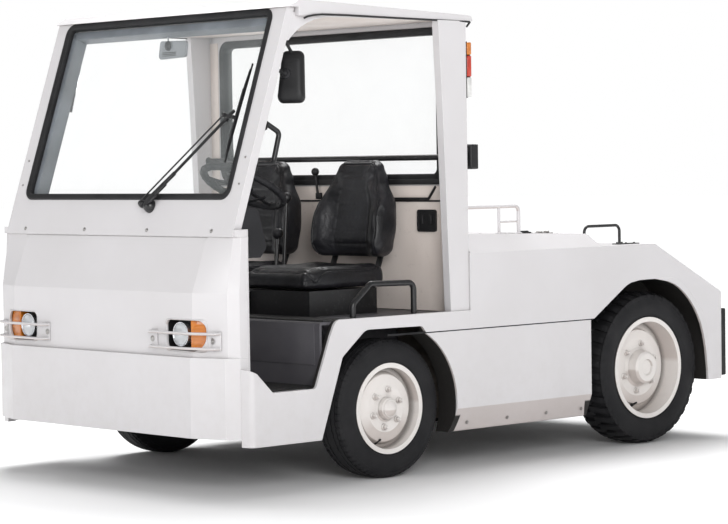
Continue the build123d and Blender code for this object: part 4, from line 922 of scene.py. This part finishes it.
strokes = [(turned, [(80, 0), (80, 50), (90, 56), (200, 50), (300, 40), (312, 36), (312, 0)], COLUMN_FOOT, COLUMN, 40),
           (rod, COLUMN_FOOT + COLUMN * 0.09, COLUMN_FOOT - COLUMN * 0.22, 30.0, 24)]
for reach in (Vector((0.15, 0.01, 0.03)), Vector((-0.15, 0.01, 0.03))):
    stalk = COLUMN_FOOT + COLUMN * 0.27
    strokes += [(rod, stalk, stalk + reach, 5.0, 14),
                (turned, [(0, 0), (0, 8), (26, 9), (34, 6), (34, 0)], stalk + reach, reach, 16)]
make_piece("column_shroud", SOFT_PLASTIC, strokes, smooth=40)
KNOB = [(24 * sin(t * pi / 12), 24 * cos(t * pi / 12)) for t in range(-3, 6)]
stems, knobs = [], []
for foot, head in ((place(0, 120, 800), place(0, 150, 1215)), (place(-60, 120, 800), place(-60, 140, 1050))):
    stems += [(turned, [(-2, 0), (-2, 34), (4, 33), (14, 24), (26, 15), (40, 12), (40, 0)], foot, head - foot, 24),
              (rod, foot, head, 7.0)]
    knobs.append((turned, [(-26, 0), (-26, 9), (-20, 13)] + KNOB + [(24, 0)], head, head - foot, 28))
make_piece("lever_stems", SATIN_BLACK, stems, smooth=40)
make_piece("lever_knobs", SOFT_PLASTIC, knobs, smooth=60)


# Seats. Moulded foam pans under black leathercloth. The back wraps forward round the driver in two
# wings, has a channelled middle and piped edges. The cushion has a piped border and a rolled front.
def leathercloth():
    """Black vinyl with a fine hide grain, greyer where trousers have polished it."""
    material, where = start_finish("leathercloth")
    polish = where.noise(6.0, 4.0, 0.55).between(0.38, 0.72)
    grain = where.cells(560.0) * 0.6 + where.noise(900.0, 3.0) * 0.4
    creases = where.stretched(1.0, 2.2, 2.2).noise(16.0, 3.0, 0.6)
    return set_surface(material, "vinyl", {
        "Base Color": polish.mix((0.007, 0.007, 0.0085), (0.020, 0.020, 0.024)), "Roughness": 0.40 - polish * 0.1,
        "Specular IOR Level": 0.42, "Normal": grain.bump(0.00035, creases.bump(0.0035))})


LEATHERCLOTH = leathercloth()
paint_nodes(SATIN_BLACK, "seat_base")
SEAT_MIDDLE = 320.0


def settle(form, rounds):
    """Smooths a form and replaces its mesh with what its modifiers make of it."""
    ease_off = form.modifiers.new("settle", "SMOOTH")
    ease_off.factor, ease_off.iterations = 0.5, rounds
    bpy.context.view_layer.update()
    done = bpy.data.meshes.new_from_object(form.evaluated_get(bpy.context.evaluated_depsgraph_get()))
    form.modifiers.clear()
    form.data = done
    return form


def even_form(name, low, high, rounds):
    """A rounded block as one even mesh, smoothed a little."""
    shape = bmesh.new()
    block(shape, low, high, 30, 6)
    bmesh.ops.remove_doubles(shape, verts=shape.verts, dist=0.00002)
    bmesh.ops.recalc_face_normals(shape, faces=shape.faces)
    mesh = bpy.data.meshes.new(name)
    shape.to_mesh(mesh)
    shape.free()
    form = stand(name, mesh)
    remesh = form.modifiers.new("even", "REMESH")
    remesh.mode, remesh.voxel_size = "VOXEL", 6 * MM
    return settle(form, rounds)


def blow_up(form, held, cap):
    """Swells a form by air pressure, as foam fills its cover. held(point) says what is glued down."""
    rest = [vert.co.copy() for vert in form.data.vertices]
    group = form.vertex_groups.new(name="held")
    group.add([vert.index for vert in form.data.vertices if held(vert.co)], 1.0, "REPLACE")
    cloth = form.modifiers.new("cover", "CLOTH")
    cloth.settings.quality = 4
    cloth.settings.mass = 0.3
    cloth.settings.tension_stiffness = cloth.settings.compression_stiffness = 12.0
    cloth.settings.shear_stiffness, cloth.settings.bending_stiffness = 6.0, 0.6
    cloth.settings.use_pressure, cloth.settings.uniform_pressure_force = True, 4.0
    cloth.settings.vertex_group_mass = "held"
    cloth.settings.effector_weights.gravity = 0.0
    cloth.collision_settings.use_collision = False
    scene = bpy.context.scene
    for step in range(1, 21):
        scene.frame_set(step)
    swollen = form.evaluated_get(bpy.context.evaluated_depsgraph_get()).data
    moved = [vert.co.copy() for vert in swollen.vertices]
    form.modifiers.clear()
    form.vertex_groups.clear()
    scene.frame_set(1)
    for vert, start, end in zip(form.data.vertices, rest, moved):
        way = end - start
        vert.co = start + (way * (cap / way.length) if way.length > cap else way)
    return settle(form, 5)


def ease(value, low, high):
    """0 at low, 1 at high, smooth between."""
    share = min(1.0, max(0.0, (value - low) / (high - low)))
    return share * share * (3 - 2 * share)


def between_rows(value, rows):
    """A value read from rows of (position, value), smoothly."""
    for (p0, v0), (p1, v1) in zip(rows, rows[1:]):
        if value <= p1:
            return v0 + (v1 - v0) * ease(value, p0, p1)
    return rows[-1][1]


BACK_FOOT, BACK_TOP = 946.0, 1380.0
BACK_REAR = [(0.0, 322), (0.5, 346), (1.0, 358)]                       # rows of (share of height, value)
BACK_HALF = [(0.0, 204), (0.10, 222), (0.28, 230), (0.52, 222), (0.80, 158), (0.93, 128), (1.0, 108)]
BACK_WING = [(0.0, 48), (0.18, 72), (0.40, 76), (0.66, 42), (0.86, 14), (1.0, 6)]
BACK_DEEP, BLOCK_DEEP, BLOCK_HALF, CUSHION_HALF = 66.0, 110.0, 228.0, 230


def on_back(u, w, v):
    """A point of the back: u from wing to wing, w from front to rear, v from foot to top."""
    half, wing, rear = (between_rows(v, rows) for rows in (BACK_HALF, BACK_WING, BACK_REAR))
    deep = BACK_DEEP + wing * ease(abs(u), 0.42, 0.93) + 12 * ease(v, 0.0, 0.25) * (1 - ease(v, 0.3, 0.6)) * (1 - u * u)
    return place(SEAT_MIDDLE + half * u, rear - (1 - w) * deep, BACK_FOOT + (BACK_TOP - BACK_FOOT) * v)


def seat_back_form():
    """The swollen back on the left seat."""
    tall = BACK_TOP - BACK_FOOT
    form = even_form("back_form", (-BLOCK_HALF, 0, 0), (BLOCK_HALF, BLOCK_DEEP, tall), 4)
    for vert in form.data.vertices:
        vert.co = on_back(vert.co.x / MM / BLOCK_HALF, (vert.co.y - AXLE_Y) / MM / BLOCK_DEEP, vert.co.z / MM / tall)
    return blow_up(form, lambda at: at.z < (BACK_FOOT + 10) * MM or at.y > AXLE_Y + 0.318, 0.009)


def seat_cushion_form():
    """The swollen cushion on the left seat: dished, bolstered at its sides and rolled at its front."""
    form = even_form("cushion_form", (SEAT_MIDDLE - CUSHION_HALF, -226, 820), (SEAT_MIDDLE + CUSHION_HALF, 252, 908), 6)
    for vert in form.data.vertices:
        x, y = vert.co.x / MM - SEAT_MIDDLE, (vert.co.y - AXLE_Y) / MM
        pinch = 1 - 0.10 * ease(y, -60, -230) * abs(x) / CUSHION_HALF if y < -60 else 1.0
        vert.co.x = (SEAT_MIDDLE + x * pinch) * MM
        if vert.co.z > 0.862:
            dish = -16 * (1 - ease(abs(x), 60, 190)) * ease(y, -230, -60) * (1 - ease(y, 120, 250))
            roll = -16 * (1 - ease(y, -232, -110))
            vert.co.z += (dish + roll + 5 * ease(y, 60, 240)) * MM
    return blow_up(form, lambda at: at.z < 0.835, 0.008)


def carve(form, points, depth, wide=6.0):
    """Presses a seam into a form along points, depth and half width in millimetres."""
    for vert in form.data.vertices:
        near = min((vert.co - point).length for point in points) / MM
        if near < wide * 2.2:
            vert.co -= vert.normal * depth * MM * 2.718 ** (-(near / wide) ** 2)


def surface_line(form, points, way, spread, rounds):
    """Drops a run of points on to a form along a direction, evenly, and takes the jitter out of it."""
    tree = BVHTree.FromObject(form, bpy.context.evaluated_depsgraph_get())
    line = []
    for start, end in zip(points, points[1:]):
        count = max(1, int((end - start).length / spread))
        for step in range(count):
            hit = tree.ray_cast(start.lerp(end, step / count) - way * 0.25, way)
            if hit[0] is not None:
                line.append((hit[0], hit[1]))
    for turn in range(rounds):
        line = ([line[0]] + [((a[0] + b[0] * 2 + c[0]) / 4, b[1]) for a, b, c in zip(line, line[1:], line[2:])]
                + [line[-1]])
    return line


def cord(shape, line, radius=3.4, rise=0.6):
    """A round cord laid along points of a surface."""
    curve = bpy.data.curves.new("cord", "CURVE")
    curve.dimensions, curve.bevel_depth, curve.bevel_resolution = "3D", radius * MM, 2
    curve.use_fill_caps = True
    spline = curve.splines.new("POLY")
    spline.points.add(len(line) - 1)
    for target, (point, normal) in zip(spline.points, line):
        target.co = (*(point + normal * rise * MM), 1.0)
    holder = bpy.data.objects.new("cord", curve)
    mesh = bpy.data.meshes.new_from_object(holder)
    shape.from_mesh(mesh)
    bpy.data.objects.remove(holder)
    bpy.data.meshes.remove(mesh)


def dress_seat(form, name, side, sign, seam):
    """Hangs one finished padded piece and its piping, mirrored for the right seat."""
    mesh = form.data.copy()
    if sign < 0:
        mesh.transform(Matrix.Scale(-1, 4, LEFT))
        mesh.flip_normals()
    mesh.materials.clear()
    mesh.materials.append(LEATHERCLOTH.material)
    mesh.polygons.foreach_set("use_smooth", [True] * len(mesh.polygons))
    piece = stand(f"{name}_pad_{side}", mesh)
    finer = piece.modifiers.new("finer", "SUBSURF")
    finer.levels = finer.render_levels = 1
    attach(piece, "tug")
    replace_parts(piece, f"{name}_{side}")
    make_piece(f"{name}_piping_{side}", LEATHERCLOTH, [(cord, seam)], smooth=60, side=sign)


back_form, cushion_form = seat_back_form(), seat_cushion_form()


def back_seam():
    """The piped seam: up one wing's ridge, over the top and down the other."""
    rise = [(-0.90, 0.02 + 0.94 * step / 12) for step in range(13)]
    across = [(-0.86 + 1.72 * step / 8, 0.965) for step in range(9)]
    fall = [(-u, v) for u, v in reversed(rise)]
    return surface_line(back_form, [on_back(u, 0, v) for u, v in rise + across + fall], BACK, 0.005, 8)


def on_cushion(x, y):
    return place(SEAT_MIDDLE + x, y, 900)


def cushion_seam():
    """The piped seam round the cushion's top."""
    points = [(-192, -192), (192, -192), (212, -160), (216, 200), (198, 228), (-198, 228), (-216, 200), (-212, -160),
              (-192, -192)]
    return surface_line(cushion_form, [on_cushion(*point) for point in points], -UP, 0.005, 8)


channels = [surface_line(back_form, [on_back(u / 10, 0, v) for u in range(-5, 6)], BACK, 0.006, 4)
            for v in (0.13, 0.27, 0.41, 0.55, 0.69, 0.83)]
pleats = [surface_line(cushion_form, [on_cushion(x, y) for x in range(-130, 131, 26)], -UP, 0.006, 4)
          for y in (-110, -30, 50, 130)]
for form, seam, runs in ((back_form, back_seam(), channels), (cushion_form, cushion_seam(), pleats)):
    carve(form, [point for point, normal in seam], 6.0)
    carve(form, [point for run in runs for point, normal in run], 2.6)
back_piping, cushion_piping = back_seam(), cushion_seam()
for side, sign in SIDES:
    dress_seat(back_form, "seat_back", side, sign, back_piping)
    dress_seat(cushion_form, "seat_cushion", side, sign, cushion_piping)
for form in (back_form, cushion_form):
    bpy.data.objects.remove(form)
strokes = []
for x in (170, 470):
    strokes += [(bar, place(x, 236, 800), place(x, 300, 960), 34, 8, Vector((0, -1, 0.4)), 2),
                (bar, place(x, 120, 806), place(x, 240, 806), 34, 8, UP, 2)]
make_pair("seat_bracket", SATIN_BLACK, strokes + [(block, (110, -190, 806), (530, 190, 811.5), 2)], smooth=40)


# Door mirrors and the mirror under the header. Black moulded backs over silvered glass, on ball
# joints. The door mirrors' stalks are clamped to the pillars.
MIRROR_GLASS = mottled("mirror_glass", "glass", (14.0, 5.0, 0.6), (0.35, 0.8), (0.80, 0.83, 0.85),
                       (0.66, 0.68, 0.70), (0.04, 0.12), None, {"Metallic": 0.95})
GREY_PLASTIC = black_plastic("grey_plastic", (0.17, 0.18, 0.19), 0.4)
MIRROR_TURN = Matrix.Rotation(radians(37), 3, "Z") @ Matrix.Rotation(radians(-12), 3, "X")
MIRROR_MIDDLE = place(764, -487, 1736)
MIRROR_OUT = MIRROR_TURN @ -BACK


def on_mirror(x, y, z):
    """A point of the left mirror's head, in millimetres from its middle."""
    return MIRROR_MIDDLE + MIRROR_TURN @ Vector((x, y, z)) * MM


def mirror_sheet(shape, inset, rows):
    """The head's outline, wider at its foot, between two depths and drawn in by rows of (depth, share)."""
    corners = [(x - 24 * (1 if x > 0 else -1), z - 24 * (1 if z > 0 else -1), 24, turn)
               for x, z, turn in ((50 - inset, 112 - inset, 0), (-44 + inset, 112 - inset, 1),
                                  (-58 + inset, -112 + inset, 2), (58 - inset, -112 + inset, 3))]
    rings = [[shape.verts.new(on_mirror(x * share, depth, z * share)) for x, z in rounded(corners, 6)]
             for depth, share in rows]
    shape.faces.new(rings[0])
    shape.faces.new(rings[-1])
    skin(shape, rings)


make_pair("door_mirror", BLACK_PLASTIC, [
    (mirror_sheet, 0, ((17, 0.97), (18, 1.0), (8, 1.0), (-6, 0.97), (-16, 0.88), (-22, 0.72), (-24, 0.5))),
    (rod, on_mirror(-22, -27, 6), place(781, -588, 1764), 8.0),
    (rod, on_mirror(0, -12, 100), place(764, -528, 1896), 7.0)], "mirror")
make_pair("door_mirror_glass", MIRROR_GLASS, [(mirror_sheet, 6, ((17.4, 1.0), (19.4, 1.0), (19.8, 0.985)))])
strokes = [(bar, on_mirror(-34, -21, z), on_mirror(34, -21, z), 4, 6, -MIRROR_OUT * MM, 1)
           for z in (-62, -48, -34, 40, 54, 68)]
make_pair("mirror_knob", SOFT_PLASTIC, strokes + [
    (turned, [(-6, 0), (-6, 25), (2, 24), (7, 20), (9, 13), (9, 0)], on_mirror(-22, -22, 6), MIRROR_OUT, 32),
    (turned, [(6, 0), (6, 14), (16, 13), (21, 9), (23, 0)], on_mirror(-22, -22, 6), MIRROR_OUT, 24)])
make_pair("mirror_clamp", SATIN_BLACK, [
    (block, (744, -535, 1884), (784, -529, 1916), 2),
    (turned, [(2, 0), (2, 16), (16, 14), (20, 10), (20, 0)], place(764, -532, 1900), BACK, 24)]
    + screws([place(751, -529.4, 1891), place(777, -529.4, 1909)], BACK, 4.0))

paint_nodes(GREY_PLASTIC, "interior_mirror")
front_y = (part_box("interior_mirror")[0].y - AXLE_Y) / MM
make_piece("mirror_ball", SOFT_PLASTIC, [
    (turned, [(0, 0), (0, 22), (3, 21), (5, 15), (9, 13), (12, 8), (12, 0)], place(-45, front_y + 8, 1899), -BACK, 28),
    (turned, [(-3, 0), (-3, 11), (6, 11), (9, 8), (9, 0)], place(-45, front_y + 9, 1976), UP, 20)]
    + [(block, (-92, front_y + 10.6, z), (2, front_y + 13, z + 2.5), 0.8) for z in (1868, 1861, 1854)])


def interior_glass(shape):
    """The pane, with its corners rounded."""
    block(shape, (-112, front_y + 27.4, 1850), (60, front_y + 29, 1912), 0)
    round_edges(shape, [edge for edge in shape.edges if abs((edge.verts[0].co - edge.verts[1].co).y) > 0.001], 14, 6)


make_piece("interior_glass", MIRROR_GLASS, interior_glass)


# Handles and guards. Bent steel tube welded to small foot plates: dull dark paint on the entry
# handles and deck loops, satin black at the hips, body colour on the luggage rails.
def foot_plate(shape, at, way, radius, bolts=2, turn=0.0):
    """A round foot plate with its screws."""
    turned(shape, [(0, 0), (0, radius), (3.2, radius), (4.4, radius - 1.2), (4.4, 0)], at, way, 32)
    way = way.normalized()
    across = way.orthogonal().normalized()
    for step in range(bolts):
        arm = Matrix.Rotation(turn + 2 * pi * step / bolts, 3, way) @ across
        screw(shape, at + way * 4.2 * MM + arm * radius * 0.70 * MM, way, 3.6)


DULL_TUBE = satin_black("dull_tube", "grey_tube", 0.34)
for side, sign in SIDES:
    paint_nodes(DULL_TUBE, f"grab_handle_{side}", f"deck_handle_{side}")
    paint_nodes(SATIN_BLACK, f"hip_guard_{side}")
make_pair("handle_feet", DULL_TUBE, [(foot_plate, on_screen(782, z, -42.2), -SCREEN_OUT, 19, 2, pi / 2)
                                     for z in (1371, 1540)])
make_pair("hip_feet", SATIN_BLACK, [(foot_plate, place(825, y, 700.2), UP, 23, 3) for y in (-214, 151)]
          + [(turned, [(-3, 0), (-3, 14.6), (3, 14.6), (3, 0)], place(825, y, 716), UP, 28) for y in (-214, 151)])
LOOP_LOW, LOOP_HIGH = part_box("deck_handle_left")
ends = [(LOOP_LOW.y - AXLE_Y) / MM + 7, (LOOP_HIGH.y - AXLE_Y) / MM - 7]
make_pair("deck_feet", DULL_TUBE, [(foot_plate, place(700, y, 961.2), UP, 17, 2) for y in ends]
          + [(block, (748, 1556, 961.2), (792, 1706, 965.5), 1.5)]
          + screws([place(770, y, 965.3) for y in (1572, 1631, 1690)], UP, 5.0))
DECK_FALL = 0.0283
rail_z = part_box("deck_rail_left")[0].z / MM
make_pair("rail_feet", BODY_WHITE, [(turned, [(0, 0), (0, 17), (3, 17), (4.5, 14), (6, 11), (6, 0)],
                                     place(750, y, rail_z + (905 - y) * DECK_FALL + 0.6), UP, 28)
                                    for y in (490, 775, 905)])


# Engine lid. Folded sheet that sits flush in the raised surround on two hinges, with an over-centre
# catch and a pull at each side. The surround is screwed down along its edges.
LID_FRONT, LID_HEIGHT, LID_FALL = 455, 1045, 24.0 / 850.0


def on_lid(x, y, up=0.0):
    """A point above the lid, which falls to the rear."""
    return place(x, y, LID_HEIGHT - (y - LID_FRONT) * LID_FALL + up)


make_pair("lid_catch", BARE_STEEL, [(bar, on_lid(560, y, 1.5), on_lid(640, y, 1.5), 26, 3, UP, 1.2)
                                    for y in (1010, 1165)]
          + [(bar, on_lid(600, 1204, 2), on_lid(600, 1232, 2), 46, 4, UP, 1.5),
             (rod, on_lid(582, 1206, 6), on_lid(618, 1206, 6), 4.5)]
          + screws([on_lid(586, 1222, 3.8), on_lid(614, 1222, 3.8)], UP, 3.6), body="hood")
make_pair("catch_keeper", BARE_STEEL, [(bar, on_lid(600, 1252, 2), on_lid(600, 1276, 2), 52, 4, UP, 1.5),
                                       (rod, on_lid(584, 1254, 7), on_lid(616, 1254, 7), 5.5)])
make_pair("hinge_screws_lid", BARE_STEEL, screws([on_lid(398, 504, 6.0), on_lid(442, 504, 6.0)], UP, 4.0), body="hood")
grip_z = LID_HEIGHT - (1040 - LID_FRONT) * LID_FALL
make_pair("lid_grip", SATIN_BLACK, [(block, (640, 1000, grip_z - 0.5), (668, 1080, grip_z + 7), 3, 3),
                                    (block, (646, 1010, grip_z + 5), (662, 1070, grip_z + 13), 4, 3)], body="hood")
make_pair("surround_screws", BODY_WHITE, screws([on_lid(700, y, 0.2) for y in (520, 700, 880, 1060, 1220)], UP, 5.0))


# Rear lamps and work lamps. Three stacked lenses clip over a black base on each cab corner: amber
# turn, red tail and stop, clear reverse. The work lamps are rubber-cased floods on short stubs.
RED_LENS = coloured_lens("lamp_red", (0.34, 0.014, 0.006), (0.66, 0.045, 0.012))
CLEAR_ACRYLIC = coloured_lens("lamp_clear", (0.50, 0.50, 0.49), (0.86, 0.86, 0.84))
make_pair("rear_lamp_base", BLACK_PLASTIC, [(block, (820.5, 450.4, 1648.5), (864, 468, 1898.5), 3, 3),
                                            (block, (822, 467, 1740.2), (867, 484, 1742.8), 0.6),
                                            (block, (822, 467, 1836.2), (867, 484, 1838.8), 0.6)], "rear_lamp")
for name, finish, low, high in (("clear", CLEAR_ACRYLIC, 1652, 1740), ("red", RED_LENS, 1743, 1836),
                                ("amber", AMBER_LENS, 1839, 1895)):
    ribs = int((high - low) / 9)
    levels = [low + (high - low) * step / ribs for step in range(1, ribs)]
    make_pair(f"rear_lens_{name}", finish, [(block, (821, 463, low), (867.5, 491, high), 5, 4)]
              + [(block, (826, 490, z - 1.2), (862, 491.7, z + 1.2), 0.6) for z in levels])
make_pair("rear_lamp_screws", BARE_STEEL, [(turned, [(0, 0), (0, 3.6), (0.8, 3.2), (1.0, 0)], place(844, 490.6, z),
                                            BACK, 16) for z in (1701, 1801, 1876)])
paint_nodes(BLACK_PLASTIC, "work_lamp_left", "work_lamp_right")
make_pair("work_lamp_rim", SEAL_RUBBER, [
    (block, (x_low, 508, z_low), (x_high, 519.7, z_high), 3.5, 4)
    for z_low, z_high, x_low, x_high in ((1334, 1346, 803, 873), (1431, 1443, 803, 873), (1340, 1437, 803, 814),
                                         (1340, 1437, 862, 873))], slot="black_plastic")
make_pair("work_lamp_glass", CLEAR_LENS, [(block, (812, 517.2, 1344), (864, 519.2, 1433), 0.8)])
make_pair("work_lamp_bulb", LAMP_BOWL, [(turned, [(0, 0), (0, 24), (4, 21), (8, 13), (9, 0)], place(838, 511, 1388.5),
                                         BACK, 32)])
make_pair("work_lamp_foot", SATIN_BLACK, [(block, (822, 450.3, 1368), (854, 454, 1410), 2)]
          + screws([place(838, 453.6, 1374), place(838, 453.6, 1404)], BACK, 4.0))


# Tail. A black rubber buffer is bolted across the tail plate. The drawbar jaw is four lugs on a
# bolted back plate, scuffed bright inside, and a pin drops through them.
def worn_jaw():
    """Black paint scraped to metal where drawbars strike."""
    material, where = start_finish("worn_jaw")
    scuff = where.stretched(1.0, 1.0, 5.0).noise(38.0, 5.0, 0.7).between(0.44, 0.66)
    return set_surface(material, None, {
        "Base Color": scuff.mix((0.012, 0.012, 0.013), (0.24, 0.235, 0.23)), "Metallic": scuff * 0.8,
        "Roughness": 0.52 - scuff * 0.16, "Normal": scuff.bump(0.0006)})


BUFFER_RUBBER = black_rubber("buffer_rubber", None, (0.013, 0.013, 0.014), (0.045, 0.043, 0.042), 0.58)
paint_nodes(BUFFER_RUBBER, "rear_bumper")
paint_nodes(worn_jaw(), "tow_hitch")
strokes = []
for x in (-820, -610, -400, -190, 190, 400, 610, 820):
    for z in (336, 586):
        strokes += [(turned, [(-0.5, 0), (-0.5, 19), (0.8, 18), (1.4, 0)], place(x, 2244, z), BACK, 24),
                    (turned, [(0, 0), (0, 10), (6, 10), (7.5, 8.6), (7.5, 0)], place(x, 2244.6, z), BACK, 6)]
make_piece("buffer_bolts", BARE_STEEL, strokes)
strokes = []
for x in (-75, 75):
    for z in (322, 410, 498):
        strokes += [(turned, [(0, 0), (0, 9.5), (7, 9.5), (8.4, 8.2), (8.4, 0)], place(x, 2260.5, z), BACK, 6),
                    (turned, [(-0.3, 0), (-0.3, 12.5), (1.2, 12.5), (1.2, 0)], place(x, 2260.5, z), BACK, 24)]
make_piece("jaw_bolts", BARE_STEEL, strokes)


# Wheel housings and lower edges. Reinforced rubber flaps hang behind the front wheels, the skirts are
# bolted up from below, the rear arches have a folded lip, a pressed bead runs along each side, and the
# belt's lower edge carries a thin black sealing strip.
FLAP_RUBBER = black_rubber("flap_rubber", "rubber", (0.045, 0.038, 0.032), (0.11, 0.095, 0.082), 0.66)
make_pair("mud_flap", FLAP_RUBBER, [(block, (480, 385, 225), (755, 390, 640), 1.5)]
          + [(block, (500, 383.4, z - 3), (740, 386, z + 3)) for z in (300, 400, 500, 600)])
make_pair("flap_bar", BARE_STEEL, [(block, (470, 383.5, 632), (758, 391.5, 664), 1.5)]
          + screws([place(x, 383.8, 648) for x in (500, 580, 660, 740)], -BACK, 6.0))
make_pair("skirt_screws", BARE_STEEL, screws([place(858, y, 209) for y in (440, 700, 960, 1200)],
                                             Vector((0.93, 0, -0.36)), 5.5))
REAR_LIP = [(1271, 629), (1299, 650), (1340, 690), (1385, 725), (1429, 750), (1470, 767), (1515, 780), (1602, 792),
            (1712, 794), (1808, 778), (1860, 762), (1898, 742), (1940, 712), (1973, 682), (2006, 645), (2033, 606),
            (2058, 560), (2077, 505), (2092, 440), (2100, 380), (2106, 330), (2110, 300)]
LIP_WIDE, REAR_HUB = 46, Vector((1722, 365))


def arch_lip(shape):
    """The lip round a rear arch: four rails, skinned and capped."""
    inner = [Vector(point) for point in REAR_LIP]
    outer = [point + (point - REAR_HUB).normalized() * LIP_WIDE for point in inner]
    rails = [[shape.verts.new(place(x, *point)) for point in line] for x in (862, 879.6) for line in (inner, outer)]
    skin(shape, [rails[index] for index in (0, 1, 3, 2, 0)], False)
    for end in (0, -1):
        shape.faces.new([rails[index][end] for index in (0, 1, 3, 2)])


make_pair("arch_lip", BODY_WHITE, arch_lip)
make_pair("side_bead", BODY_WHITE, [(bar, place(877.2, 470, 712), place(877.2, 1400, 712), 7, 5.2, LEFT, 2.2),
                                    (bar, place(877.2, 1985, 711), place(877.2, 2205, 711), 7, 5.2, LEFT, 2.2)])
make_pair("belt_strip", SEAL_RUBBER, [(bar, place(876.6, -60, 626), place(876.6, 1268, 626), 9, 6, LEFT, 2)])
